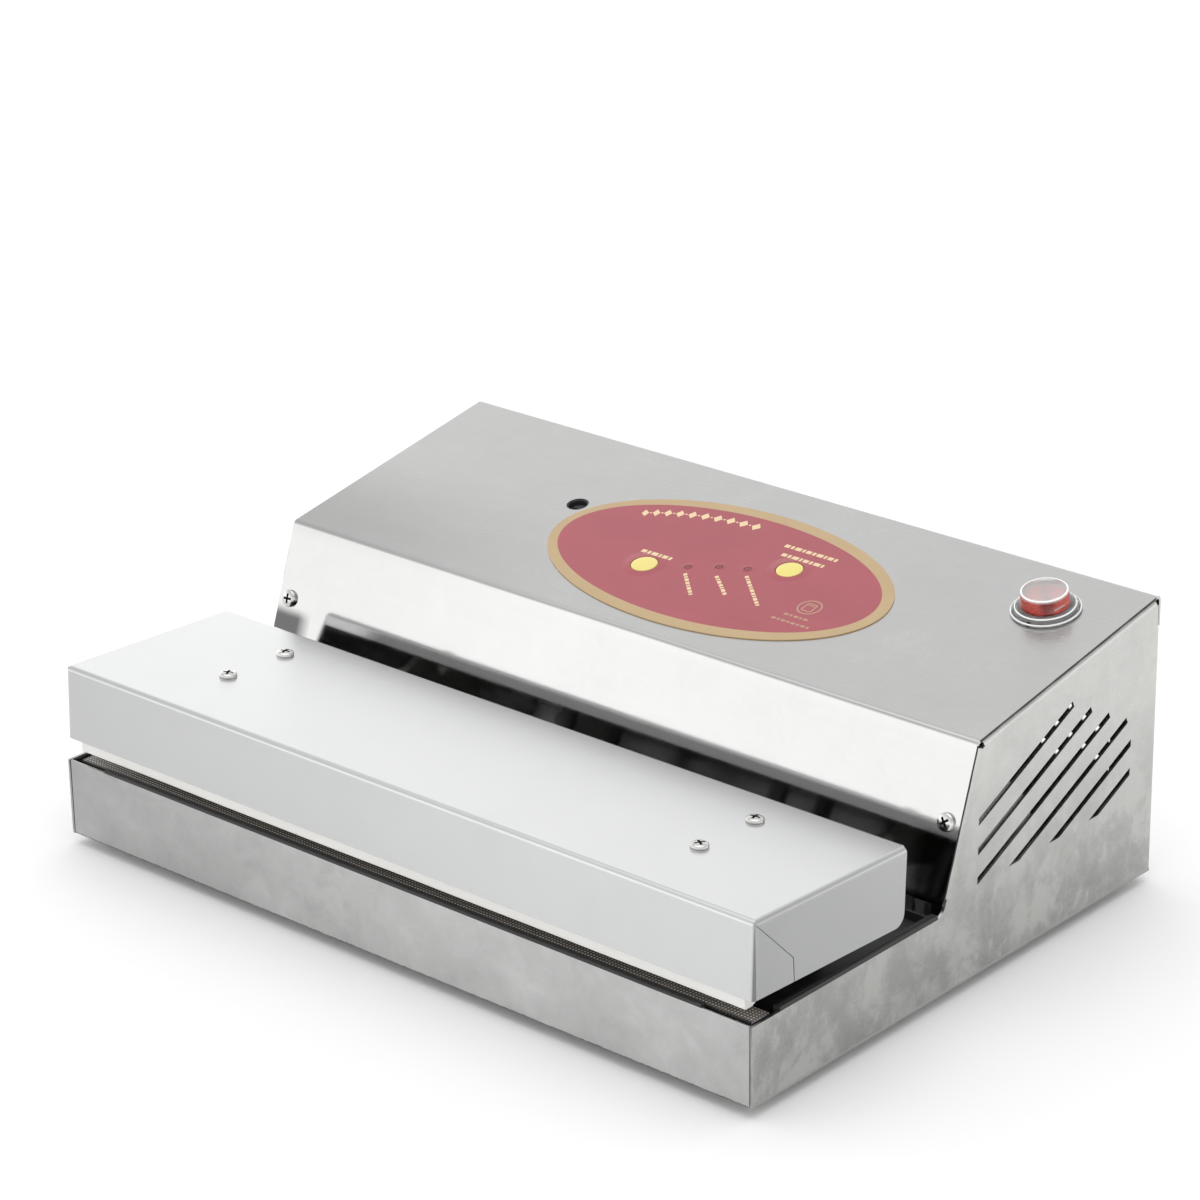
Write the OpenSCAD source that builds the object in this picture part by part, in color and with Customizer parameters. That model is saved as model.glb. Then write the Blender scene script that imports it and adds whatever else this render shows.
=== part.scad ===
// Bar-type vacuum bag sealer: a folded stainless case with a sprung, hinged pressing lid.
// Case coordinates: x = 0 at the middle, y = 0 at the front panel, z = 0 under the case.

/* [Case] */
// Width over the side panels
case_w = 380; // [376:1:390]
// Depth from the front panel to the back of the cover
case_d = 267; // [264:1:272]
// Height of the low front part
rim_h = 35; // [34.5:0.5:36]
// Distance from the front to the foot of the slope
slope_foot_y = 118; // [117:0.5:119]
// Distance from the front to the ridge between slope and top
ridge_y = 141; // [140:0.5:143]
// Height of the ridge
ridge_h = 103; // [102:0.5:106]
// Height of the top at the back
rear_h = 126; // [124:0.5:130]
// Thickness of the folded sheet
sheet = 1.2; // [1.0:0.1:1.3]
// Thickness of the bottom plate
base_t = 1.5; // [1.2:0.1:2]
// Outer radius of the folds
bend_r = 2.4; // [2:0.1:2.8]
// Height of the rubber feet
foot_h = 5; // [4:0.5:8]

/* [Lid] */
// Depth of the lid from front to back
lid_d = 95.6; // [94:0.2:96]
// Height of the lid's skirt
skirt_h = 33; // [32:0.5:34]
// Height of the lid's top when it is shut level
lid_top = 72.7; // [72:0.1:74]
// Angle at which the springs hold the lid
lid_rest = 2.35; // [2.1:0.05:2.6]
// Distance from the front to the hinge shaft
hinge_y = 136; // [135:0.5:137]
// Height of the hinge shaft
hinge_z = 42; // [41.5:0.1:42.5]
// Radius of the hinge shaft
shaft_r = 5; // [4:0.5:5]
// Distance from the middle to each hinge arm
arm_x = 136.5; // [134:0.5:140]
// Distance from the middle to the lid screws
lid_screw_x = 130.5; // [129:0.5:131]

/* [Sealing] */
// Length of the sealing bar
bar_w = 372; // [360:2:374]
// Height of the tape over the heating band
tape_z = 34.2; // [34:0.1:34.4]
// Width of the heating band
band_w = 5; // [3:0.5:6]

/* [Controls] */
// Half the width of the oval label
label_a = 88.1; // [84:0.1:90]
// Half the height of the oval label
label_b = 47.9; // [45:0.1:49]
// Radius of the membrane buttons
button_r = 5.9; // [5:0.1:6.5]
// Travel of the membrane buttons
button_travel = 0.6; // [0.3:0.1:0.6]
// Angle between the two positions of the power rocker
rocker_throw = 20; // [16:1:20]

/* [Vents] */
// Width of a vent slot
slot_w = 3; // [2:0.5:4]
// Upright distance between vent slots
slot_pitch = 13; // [12:0.5:14]
// Rise of the vent slots
slot_rise = 25; // [20:1:30]

/* [Hidden] */
$fn = 48;

half_w = case_w / 2;
inner_w = half_w - sheet;
head_h = 2.2;
head_r = 3.9;
screw_r = 2;
rear_reach = 3;
case_mid = (case_d + rear_reach) / 2;
slope_a = atan2(ridge_h - rim_h, ridge_y - slope_foot_y);
top_a = atan2(rear_h - ridge_h, case_d - ridge_y);
slope_len = norm([ridge_h - rim_h, ridge_y - slope_foot_y]);
top_len = norm([rear_h - ridge_h, case_d - ridge_y]);
fold_a = slope_a - top_a;
cover_foot = 4.3;
lip_h = 14;
fit_gap = 0.1;
drop = sheet + fit_gap;
flange_w = 14;
fold_notch = 1.6;
lid_front = 0.63;
lid_rear = lid_front + lid_d;
skirt_z = lid_top - skirt_h;
running = 0.05;
bush_r = 8;
arm_t = 4;
hub_r = 6;
bracket_x = 178;
bracket_t = 3;
tray_top = 31;
tray_front = 15.5;
tray_rear = 116.2;
tray_half = 186.5;
trough_y = [36, 62];
trough_half = 150;
trough_floor = 18;
nipple_x = 40;
nipple_z = 25;
bar_y = [4.55, 14.85];
bar_z = [18, 33.6];
label_at = [10.2, 57.3];
label_t = 0.5;
button_at = [[-20.3, 44.7], [39.3, 70.4]];
led_at = [[-1.4, 51.6], [10.7, 58], [22.9, 62.3]];
trimmer_at = [-82, 71.8];
switch_at = [155, 95];
switch_r = 10.4;
board_top = -12.4;
board_t = 1.6;
board_x = [-72, 96];
board_s = [24, 96];
slope_screw_x = 183;
slope_screw_u = 0.52 * slope_len;
lid_screw_y = [39.6, 73.6];
foot_at = [[-165, 25], [165, 25], [-165, 242], [165, 242]];
pump_at = [66, 205];
pump_axis_z = 48;
rotor_r = 20;
valve_at = [-12, 178];
core_at = [-110, 205];
inlet_at = [-120, 38];
arc_n = 8;

// Outline helpers

function direction(a) = [cos(a), sin(a)];
function slope_pt(u, n) = [slope_foot_y, rim_h] + u * direction(slope_a) + n * direction(slope_a + 90);
function top_pt(s, n) = [ridge_y, ridge_h] + s * direction(top_a) + n * direction(top_a + 90);
function top_s_at(y, n) = (y - ridge_y + n * sin(top_a)) / cos(top_a);
function arc(c, r, a0, a1) = [for (i = [0:arc_n]) c + r * direction(a0 + (a1 - a0) * i / arc_n)];

// Sweep helpers for hoses and wires

function spline(p, q, r, s, t) =
    0.5 * (2 * q + (r - p) * t + (2 * p - 5 * q + 4 * r - s) * t * t
    + (3 * q - p - 3 * r + s) * t * t * t);
function smooth_path(p, steps) = [
    for (i = [0:len(p) - 2], k = [0:steps - 1])
        spline(p[max(i - 1, 0)], p[i], p[i + 1], p[min(i + 2, len(p) - 1)], k / steps),
    p[len(p) - 1]];
function unit(v) = v / norm(v);
function tangent(p, i) = unit(p[min(i + 1, len(p) - 1)] - p[max(i - 1, 0)]);
function square_to(v, t) = unit(v - (v * t) * t);
function normals(p, i, v) = i == len(p) ? [] :
    let (n = square_to(v, tangent(p, i))) concat([n], normals(p, i + 1, n));

module tube(points, r, sides, steps, start_normal = [0.3, 0.2, 1]) {
    p = smooth_path(points, steps);
    n = normals(p, 0, start_normal);
    rings = [for (i = [0:len(p) - 1], k = [0:sides - 1])
        p[i] + r * (cos(360 * k / sides) * n[i] + sin(360 * k / sides) * cross(tangent(p, i), n[i]))];
    last = (len(p) - 1) * sides;
    walls = [for (i = [0:len(p) - 2], k = [0:sides - 1])
        [i * sides + k, i * sides + (k + 1) % sides,
        (i + 1) * sides + (k + 1) % sides, (i + 1) * sides + k]];
    first_cap = [[for (k = [sides - 1:-1:0]) k]];
    last_cap = [[for (k = [0:sides - 1]) last + k]];
    polyhedron(rings, concat(first_cap, walls, last_cap));
}

// Placing helpers

module in_case() {
    translate([0, -case_mid, foot_h])
        children();
}

module on_slope(x, u) {
    translate([x, slope_foot_y, rim_h]) rotate([slope_a, 0, 0]) translate([0, u, 0])
        children();
}

module on_top(x, s) {
    translate([x, ridge_y, ridge_h]) rotate([top_a, 0, 0]) translate([0, s, 0])
        children();
}

module in_lid() {
    in_case() translate([0, hinge_y, hinge_z]) rotate([-lid_rest, 0, 0])
        translate([0, -hinge_y, -hinge_z]) children();
}

module both() {
    children();
    mirror([1, 0, 0]) children();
}

// Extrudes a (y, z) outline from x0 to x1
module across(x0, x1) {
    translate([x0, 0, 0]) rotate([90, 0, 90]) linear_extrude(x1 - x0) children();
}

module along_x(r, x0, x1, y, z) {
    translate([x0, y, z]) rotate([0, 90, 0]) cylinder(h = x1 - x0, r = r);
}

module block(x, y, z) {
    translate([x[0], y[0], z[0]]) cube([x[1] - x[0], y[1] - y[0], z[1] - z[0]]);
}

module rounded(w, d, r) {
    difference() {
        square([w, d], center = true);
        for (mx = [0, 1], my = [0, 1])
            mirror([mx, 0]) mirror([0, my]) translate([w / 2 - r, d / 2 - r])
                difference() {
                    square(2 * r);
                    circle(r);
                }
    }
}

// Raised cross-head screw: the head stands on z = 0 and the shank points down
module cross_screw(length) {
    dome_r = (head_r * head_r + head_h * head_h) / (2 * head_h);
    recess = [4.2, 0.9, 1.3];
    difference() {
        intersection() {
            cylinder(h = head_h, r = head_r);
            translate([0, 0, head_h - dome_r]) sphere(dome_r);
        }
        for (a = [45, 135])
            rotate(a) translate([0, 0, head_h - recess.z / 2 + 0.01]) cube(recess, center = true);
    }
    translate([0, 0, -length]) cylinder(h = length + 0.2, r = screw_r);
}

module hex_nut() {
    difference() {
        cylinder(h = 3.2, r = 4, $fn = 6);
        translate([0, 0, -1]) cylinder(h = 6, r = screw_r + running);
    }
}

// Case shells

module bottom_plate() {
    color("silver") in_case() difference() {
        block([-half_w, half_w], [0, case_d - sheet], [0, base_t]);
        block([-inner_w, inner_w], [-1, sheet + 0.1], [-1, base_t + 1]);
        for (p = foot_at)
            translate([p.x, p.y, -1]) cylinder(h = base_t + 2, r = screw_r + running);
    }
}

module front_panel() {
    flange = 12;
    seam = 0.25;
    hem = 0.3;
    color("silver") in_case() across(-inner_w + seam, inner_w - seam)
        polygon([[0, hem], [0, rim_h], [sheet, rim_h], [sheet, base_t + sheet],
            [flange, base_t + sheet], [flange, base_t], [sheet, base_t], [sheet, hem]]);
}

// Slanted slots, measured from the low end of the group along w and up from z = 0
module vent_slots() {
    first_h = 68;
    group_w = 106;
    floor_h = 40.5;
    first_w = 63.3;
    step_w = 13.1;
    intersection() {
        translate([0, floor_h]) square([group_w, 80]);
        for (i = [0:5])
            translate([0, first_h - slot_pitch * i]) rotate(slot_rise)
                translate([-20, -slot_w / 2])
                    square([20 + (first_w + step_w * i) / cos(slot_rise), slot_w]);
    }
}

// Folded edge of a side panel: a leg in the panel, the fold and the flange
module folded_edge(length) {
    leg = 4;
    c = [-bend_r, -bend_r];
    translate([0, length, 0]) rotate([90, 0, 0]) linear_extrude(length)
        polygon(concat([[0, -bend_r - leg]], arc(c, bend_r, 0, 90), [[-flange_w, 0]],
            [[-flange_w, -sheet]], arc(c, bend_r - sheet, 90, 0), [[-sheet, -bend_r - leg]]));
}

module side_outline() {
    inner = drop + bend_r;
    fillet = 6;
    shoulder = slope_pt(0, -drop);
    rim_y = shoulder.x + (rim_h - shoulder.y) / tan(slope_a);
    run = fillet * tan(slope_a / 2);
    rear_y = case_d - bend_r;
    polygon(concat([[0, base_t], [0, rim_h]],
        arc([rim_y - run, rim_h + fillet], fillet, 270, 270 + slope_a),
        [slope_pt(cover_foot + 3, -drop), slope_pt(cover_foot + 3, -inner),
        top_pt(inner * tan(fold_a / 2), -inner),
        top_pt(top_s_at(rear_y, -inner), -inner), [rear_y, base_t]]));
}

module side_panel() {
    vent_y = 142;
    slope_start = cover_foot + 3;
    slope_fold = slope_len - slope_start - fold_notch - 1;
    top_fold = top_len - 2 * fold_notch - bend_r;
    difference() {
        union() {
            across(inner_w, half_w) side_outline();
            translate([half_w, slope_pt(0, -drop).x, slope_pt(0, -drop).y]) rotate([slope_a, 0, 0])
                translate([0, slope_start, 0]) folded_edge(slope_fold);
            translate([half_w, top_pt(0, -drop).x, top_pt(0, -drop).y]) rotate([top_a, 0, 0])
                translate([0, fold_notch + 1.6, 0]) folded_edge(top_fold - 1.6);
            translate([half_w, case_d, rear_h - lip_h - 1]) rotate([-90, 0, 0])
                folded_edge(rear_h - lip_h - 1 - base_t);
        }
        translate([0, vent_y, 0]) across(inner_w - 1, half_w + 1) vent_slots();
        on_slope(slope_screw_x, slope_screw_u) translate([0, 0, -6])
            cylinder(h = 10, r = screw_r + running);
        for (z = [20, 92])
            translate([slope_screw_x - 1, case_d + 1, z]) rotate([90, 0, 0])
                cylinder(h = 5, r = screw_r + running);
    }
}

module left_side_panel() {
    color("silver") in_case() mirror([1, 0, 0]) side_panel();
}

module right_side_panel() {
    color("silver") in_case() side_panel();
}

module rear_panel() {
    vent_x = 168.6;
    outer_y = case_d - sheet - fit_gap;
    hole = [28.4, 20.4];
    screw_gap = 20;
    color("silver") in_case() difference() {
        block([-half_w + bend_r, half_w - bend_r], [outer_y - sheet, outer_y], [base_t, rear_h - 4]);
        translate([vent_x, outer_y + 1, 0]) rotate([90, 0, 0]) mirror([1, 0, 0])
            linear_extrude(sheet + 2) vent_slots();
        translate([inlet_at.x, outer_y - sheet / 2, inlet_at.y])
            cube([hole.x, sheet + 2, hole.y], center = true);
        for (dx = [-screw_gap, screw_gap])
            translate([inlet_at.x + dx, outer_y + 1, inlet_at.y]) rotate([90, 0, 0])
                cylinder(h = sheet + 2, r = 1.6);
        for (x = [-slope_screw_x + 1, slope_screw_x - 1], z = [20, 92])
            translate([x, outer_y + 1, z]) rotate([90, 0, 0])
                cylinder(h = sheet + 2, r = screw_r + running);
        for (x = [-120, 0, 120])
            translate([x, outer_y + 1, rear_h - lip_h / 2 - 1]) rotate([90, 0, 0])
                cylinder(h = sheet + 2, r = screw_r + running);
    }
}

module cover_outline() {
    ridge_run = bend_r * tan(fold_a / 2);
    rear_run = bend_r * tan((90 + top_a) / 2);
    ridge_c = top_pt(ridge_run, -bend_r);
    rear_c = top_pt(top_len - rear_run, -bend_r);
    polygon(concat([slope_pt(cover_foot, 0)],
        arc(ridge_c, bend_r, 90 + slope_a, 90 + top_a), arc(rear_c, bend_r, 90 + top_a, 0),
        [[case_d, rear_h - lip_h], [case_d - sheet, rear_h - lip_h]],
        arc(rear_c, bend_r - sheet, 0, 90 + top_a),
        arc(ridge_c, bend_r - sheet, 90 + top_a, 90 + slope_a), [slope_pt(cover_foot, -sheet)]));
}

module top_cover() {
    edge_gap = 0.6;
    arm_slot = 8;
    arm_slot_u = 22.5;
    color("gainsboro") in_case() difference() {
        across(-half_w + edge_gap, half_w - edge_gap) cover_outline();
        for (x = [-arm_x, arm_x])
            on_slope(x, arm_slot_u / 2) cube([arm_slot, arm_slot_u, 8], center = true);
        for (x = [-slope_screw_x, slope_screw_x])
            on_slope(x, slope_screw_u) translate([0, 0, -4])
                cylinder(h = 8, r = screw_r + running);
        for (x = [-120, 0, 120])
            translate([x, case_d + 1, rear_h - lip_h / 2 - 1]) rotate([90, 0, 0])
                cylinder(h = sheet + 2, r = screw_r + running);
        for (p = button_at)
            on_top(p.x, p.y) translate([0, 0, -4]) cylinder(h = 8, r = button_r + 0.4);
        for (p = led_at)
            on_top(p.x, p.y) translate([0, 0, -4]) cylinder(h = 8, r = 1.8);
        on_top(trimmer_at.x, trimmer_at.y) translate([0, 0, -4]) cylinder(h = 8, r = 5);
        on_top(switch_at.x, switch_at.y) translate([0, 0, -4])
            cylinder(h = 8, r = switch_r + 0.2);
    }
}

// Two screws on the slope, three in the rear lip and four in the rear flanges
module case_screws() {
    color("gainsboro") in_case() {
        for (x = [-slope_screw_x, slope_screw_x])
            on_slope(x, slope_screw_u) cross_screw(7);
        for (x = [-120, 0, 120])
            translate([x, case_d, rear_h - lip_h / 2 - 1]) rotate([-90, 0, 0]) cross_screw(6);
        for (x = [-slope_screw_x + 1, slope_screw_x - 1], z = [20, 92])
            translate([x, case_d, z]) rotate([-90, 0, 0]) cross_screw(6);
        for (p = foot_at)
            translate([p.x, p.y, -foot_h + 2.6]) rotate([180, 0, 0]) cross_screw(8);
    }
}

module feet() {
    foot_r = 9;
    recess_r = 4.5;
    color("dimgray") in_case() for (p = foot_at)
        translate([p.x, p.y, -foot_h]) difference() {
            cylinder(h = foot_h, r1 = foot_r - 1, r2 = foot_r);
            translate([0, 0, -1]) cylinder(h = 3.6, r = recess_r);
            cylinder(h = foot_h + 1, r = screw_r + running);
        }
}

// Vacuum chamber and sealing bar

module chamber_tray() {
    wall_z = 12;
    hose_hole = 6;
    opening = trough_half + sheet + running;
    color("dimgray") in_case() difference() {
        union() {
            difference() {
                block([-tray_half, tray_half], [tray_front, tray_rear], [base_t, tray_top]);
                block([-tray_half + sheet, tray_half - sheet],
                    [tray_front + sheet, tray_rear - sheet], [0, tray_top - sheet]);
            }
            block([-tray_half, tray_half], [tray_rear - sheet, tray_rear], [tray_top - 5, rim_h]);
        }
        block([-opening, opening], [trough_y[0] - sheet - running, trough_y[1] + sheet + running],
            [tray_top - sheet - 1, tray_top + 1]);
        for (y = [tray_front - 1, tray_rear - sheet - 1])
            block([-tray_half + sheet, tray_half - sheet], [y, y + 4], [0, wall_z]);
        translate([nipple_x, 120, nipple_z]) rotate([90, 0, 0]) cylinder(h = 20, r = hose_hole);
    }
}

// The sunk pan that the bag's mouth hangs into
module trough_pan() {
    color("silver") in_case() difference() {
        block([-trough_half - sheet, trough_half + sheet],
            [trough_y[0] - sheet, trough_y[1] + sheet], [trough_floor - sheet, tray_top]);
        block([-trough_half, trough_half], trough_y, [trough_floor, tray_top + 1]);
        translate([nipple_x, 70, nipple_z]) rotate([90, 0, 0])
            cylinder(h = 20, r = 3 + running);
    }
}

module gasket_ring(h) {
    outer = [344, 46];
    band = 7;
    translate([0, (trough_y[0] + trough_y[1]) / 2, 0]) linear_extrude(h) difference() {
        rounded(outer.x, outer.y, 10);
        rounded(outer.x - 2 * band, outer.y - 2 * band, 10 - band);
    }
}

module base_gasket() {
    color("black") in_case() translate([0, 0, tray_top]) gasket_ring(6);
}

module vacuum_nipple() {
    color("goldenrod") in_case() translate([nipple_x, 0, nipple_z]) rotate([-90, 0, 0])
        difference() {
            union() {
                translate([0, 0, trough_y[1] - 2]) cylinder(h = 2, r = 5);
                translate([0, 0, trough_y[1] - 1]) cylinder(h = 14, r = 3);
                for (y = [66, 69, 72])
                    translate([0, 0, y]) cylinder(h = 2, r1 = 3.6, r2 = 3);
            }
            translate([0, 0, trough_y[1] - 4]) cylinder(h = 20, r = 1.8);
        }
}

module seal_bar() {
    groove = [4, 6];
    color("lightgray") in_case() difference() {
        block([-bar_w / 2, bar_w / 2], bar_y, bar_z);
        translate([0, bar_y[1], 25]) cube([bar_w + 2, groove.x, groove.y], center = true);
    }
}

module seal_bar_posts() {
    post = 12;
    color("ivory") in_case() for (x = [-140, 0, 140])
        block([x - post / 2, x + post / 2], [bar_y[0] + 0.5, bar_y[1] - 0.5],
            [base_t + sheet, bar_z[0]]);
}

module heating_band() {
    mid = (bar_y[0] + bar_y[1]) / 2;
    color("silver") in_case() block([-bar_w / 2 + 1, bar_w / 2 - 1],
        [mid - band_w / 2, mid + band_w / 2], [bar_z[1], bar_z[1] + 0.25]);
}

module ptfe_tape() {
    t = 0.3;
    gap = 0.05;
    color("saddlebrown") in_case() difference() {
        block([-bar_w / 2, bar_w / 2], [bar_y[0] - gap - t, bar_y[1] + gap + t], [22, tape_z]);
        block([-bar_w / 2 - 1, bar_w / 2 + 1], [bar_y[0] - gap, bar_y[1] + gap], [21, tape_z - t]);
    }
}

module band_terminals() {
    color("goldenrod") in_case() both() difference() {
        block([170, 182], [5.6, 13.8], [8, bar_z[0]]);
        translate([176, 0, 12.5]) rotate([-90, 0, 0]) cylinder(h = 20, r = 1.6);
    }
}

module front_edge_trim() {
    lip = 0.6;
    color("black") in_case() translate([-1, 0, 0]) difference() {
        block([-166, 166], [sheet - lip, 3], [25, rim_h + 0.7]);
        block([-167, 167], [0, sheet], [20, rim_h]);
    }
}

module side_edge_trims() {
    color("black") in_case() both() difference() {
        block([inner_w - 1.7, inner_w + 0.5], [17, 116], [25, rim_h + 1.3]);
        block([inner_w, inner_w + 2], [16, 117], [20, rim_h]);
    }
}

// Hinge

module hinge_brackets() {
    foot_w = 16;
    color("lightgray") in_case() both() difference() {
        union() {
            across(bracket_x - bracket_t / 2, bracket_x + bracket_t / 2)
                polygon([[124, base_t], [125.5, 46], [150, 83], [165, 79], [176.5, 71],
                    [185.5, 63], [192.5, 52], [194, base_t]]);
            block([bracket_x - bracket_t / 2 - foot_w, bracket_x - bracket_t / 2 + 0.5],
                [150, 190], [base_t, base_t + bracket_t]);
        }
        along_x(bush_r, bracket_x - 5, bracket_x + 5, hinge_y, hinge_z);
    }
}

module hinge_bushes() {
    half = 3.5;
    color("ivory") in_case() both() difference() {
        union() {
            along_x(bush_r, bracket_x - half, bracket_x + half, hinge_y, hinge_z);
            along_x(bush_r + 2, bracket_x - half, bracket_x - bracket_t / 2, hinge_y, hinge_z);
        }
        along_x(shaft_r + running, bracket_x - 6, bracket_x + 6, hinge_y, hinge_z);
    }
}

// A wound spring whose fixed leg stands on the bottom plate and whose free leg lifts the arm
module lid_springs() {
    wire = 0.8;
    coil_r = shaft_r + 0.6 + wire;
    turns = 8;
    pitch = 2.2 * wire;
    step_a = 24;
    start = arm_x + arm_t / 2 + 2;
    under_arm = hinge_z - hub_r - 2.3;
    coil = [for (a = [0:step_a:360 * turns])
        [start + pitch * a / 360, hinge_y - coil_r * sin(a), hinge_z - coil_r * cos(a)]];
    free_leg = [[arm_x - 2, hinge_y - 16, under_arm], [start - 1.4, hinge_y - 16, under_arm],
        [start, hinge_y - 14.5, under_arm], [start, hinge_y - 6, hinge_z - coil_r - 0.4]];
    fixed_leg = [[start + pitch * turns, hinge_y + 7, hinge_z - coil_r - 1],
        [start + pitch * turns, hinge_y + 11, hinge_z - coil_r - 5],
        [start + pitch * turns, hinge_y + 12, base_t + 0.2]];
    color("gray") in_case() both()
        tube(concat(free_leg, [for (p = coil) [p.x, 2 * hinge_y - p.y, p.z]], fixed_leg),
            wire, 6, 1);
}

// Controls

module control_label() {
    color("firebrick") in_case() difference() {
        on_top(label_at.x, label_at.y) linear_extrude(label_t)
            scale([label_a, label_b]) circle(1, $fn = 96);
        for (p = button_at)
            on_top(p.x, p.y) translate([0, 0, -1]) cylinder(h = 3, r = button_r + 0.3);
        for (p = led_at)
            on_top(p.x, p.y) translate([0, 0, -1]) cylinder(h = 3, r = 1.7);
        on_top(trimmer_at.x, trimmer_at.y) translate([0, 0, -1]) cylinder(h = 3, r = 6);
    }
}

module membrane_button(p) {
    in_case() on_top(p.x, p.y) {
        translate([0, 0, -1.8]) cylinder(h = 2.5, r = button_r);
        translate([0, 0, -3]) cylinder(h = 1.4, r = button_r + 1.6);
        translate([0, 0, button_travel - 7.7]) cylinder(h = 5, r = 2);
    }
}

module pump_button() {
    color("khaki") membrane_button(button_at[0]);
}

module seal_button() {
    color("khaki") membrane_button(button_at[1]);
}

module led_lenses() {
    color("maroon") in_case() for (p = led_at)
        on_top(p.x, p.y) {
            translate([0, 0, -8]) cylinder(h = 8.5, r = 1.5);
            translate([0, 0, board_top]) cylinder(h = -board_top - 7, r = 2.2);
        }
}

module control_board() {
    color("darkgreen") in_case() on_top(0, 0)
        block(board_x, board_s, [board_top - board_t, board_top]);
}

module board_standoffs() {
    inset = 5;
    color("ivory") in_case() on_top(0, 0)
        for (x = [board_x[0] + inset, board_x[1] - inset], s = [board_s[0] + inset, board_s[1] - inset])
            translate([x, s, board_top]) cylinder(h = -board_top - sheet, r = 3);
}

// Relays, capacitors, a connector strip and the two tactile switches
module board_parts() {
    under = board_top - board_t;
    color("darkslategray") in_case() on_top(0, 0) {
        for (x = [-60, -38])
            block([x, x + 15], [30, 49], [under - 15, under]);
        for (x = [-16, -4])
            translate([x, 40, under - 12]) cylinder(h = 12, r = 5);
        block([30, 84], [80, 90], [under - 10, under]);
        block([40, 66], [34, 52], [under - 4, under]);
        for (p = button_at) {
            block([p.x - 3, p.x + 3], [p.y - 3, p.y + 3], [board_top, -8.4]);
            translate([p.x, p.y, -8.4]) cylinder(h = 0.7, r = 1.7);
        }
    }
}

module trimmer_bush() {
    color("black") in_case() on_top(trimmer_at.x, trimmer_at.y) difference() {
        union() {
            translate([0, 0, -14]) cylinder(h = 13.7, r = 4.9);
            translate([0, 0, -4.2]) cylinder(h = 3, r = 7.5, $fn = 6);
            block([-7, 7], [-7, 7], [-22, -14]);
        }
        translate([0, 0, -14]) cylinder(h = 16, r = 4.2);
    }
}

module trimmer_spindle() {
    color("gray") in_case() on_top(trimmer_at.x, trimmer_at.y) difference() {
        translate([0, 0, -13.8]) cylinder(h = 11, r = 4.15);
        translate([0, 0, -2.8]) cube([8, 0.9, 2.4], center = true);
    }
}

module switch_body() {
    color("black") in_case() on_top(switch_at.x, switch_at.y) difference() {
        union() {
            translate([0, 0, -18]) cylinder(h = 18, r = switch_r);
            cylinder(h = 2, r = 12);
        }
        translate([0, 0, -9]) cylinder(h = 12, r = 9.3);
        translate([0, 15, -1]) rotate([90, 0, 0]) cylinder(h = 30, r = 1.5 + running);
    }
}

module switch_terminals() {
    color("goldenrod") in_case() on_top(switch_at.x, switch_at.y)
        for (x = [-5, 5], s = [-4, 4])
            block([x - 0.4, x + 0.4], [s - 2.4, s + 2.4], [-27, -18]);
}

// The rocker rests with its left side up
module switch_rocker() {
    color("red") in_case() on_top(switch_at.x, switch_at.y) translate([0, 0, -1])
        rotate([0, rocker_throw / 2, 0]) {
            difference() {
                translate([0, 0, -3]) cylinder(h = 8, r = 8.4);
                translate([0, 0, 25.6]) rotate([90, 0, 0])
                    cylinder(h = 20, r = 21.4, center = true, $fn = 96);
            }
            rotate([90, 0, 0]) cylinder(h = 19.8, r = 1.5, center = true);
        }
}

module switch_cap() {
    color("azure", 0.4) in_case() on_top(switch_at.x, switch_at.y) difference() {
        union() {
            cylinder(h = 1.4, r = 15.5);
            cylinder(h = 3.2, r = 13.5);
            cylinder(h = 9, r = 10.7);
            translate([0, 0, 9]) cylinder(h = 0.9, r1 = 10.7, r2 = 9.6);
        }
        translate([0, 0, -1]) cylinder(h = 3.2, r = 12.1);
        translate([0, 0, -1]) cylinder(h = 9.8, r = 9.8);
    }
}

// Vacuum pump

module pump_stator() {
    x = [pump_at.x - 20, pump_at.x + 20];
    color("slategray") in_case() difference() {
        block(x, [pump_at.y - 30, pump_at.y + 30], [pump_axis_z - 30, pump_axis_z + 30]);
        along_x(rotor_r + 0.6, x[0] - 1, x[1] + 1, pump_at.y, pump_axis_z);
    }
}

module pump_end_plates() {
    plate_t = 4;
    color("lightgray") in_case() for (side = [-1, 1]) {
        x = pump_at.x + side * 28;
        difference() {
            union() {
                block([x - plate_t / 2, x + plate_t / 2],
                    [pump_at.y - 27, pump_at.y + 27], [pump_axis_z - 27, pump_axis_z + 27]);
                for (dy = [-23, 23], dz = [-23, 23])
                    along_x(3.5, min(x, pump_at.x + side * 20), max(x, pump_at.x + side * 20),
                        pump_at.y + dy, pump_axis_z + dz);
            }
            along_x(3 + running, x - 5, x + 5, pump_at.y, pump_axis_z);
        }
    }
}

// Rotor, shaft, crank disc and cooling fan turn together
module pump_rotor() {
    blades = 8;
    color("gray") in_case() {
        along_x(rotor_r, pump_at.x - 19, pump_at.x + 19, pump_at.y, pump_axis_z);
        along_x(3, pump_at.x - 52, pump_at.x + 47, pump_at.y, pump_axis_z);
        translate([pump_at.x - 50, pump_at.y + 4, pump_axis_z]) rotate([0, 90, 0])
            cylinder(h = 10, r = 9);
        translate([pump_at.x + 34, pump_at.y, pump_axis_z]) rotate([0, 90, 0]) {
            cylinder(h = 10, r = 8);
            for (i = [0:blades - 1])
                rotate(360 * i / blades) translate([6, -0.75, 1]) cube([18, 1.5, 8]);
        }
    }
}

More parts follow.
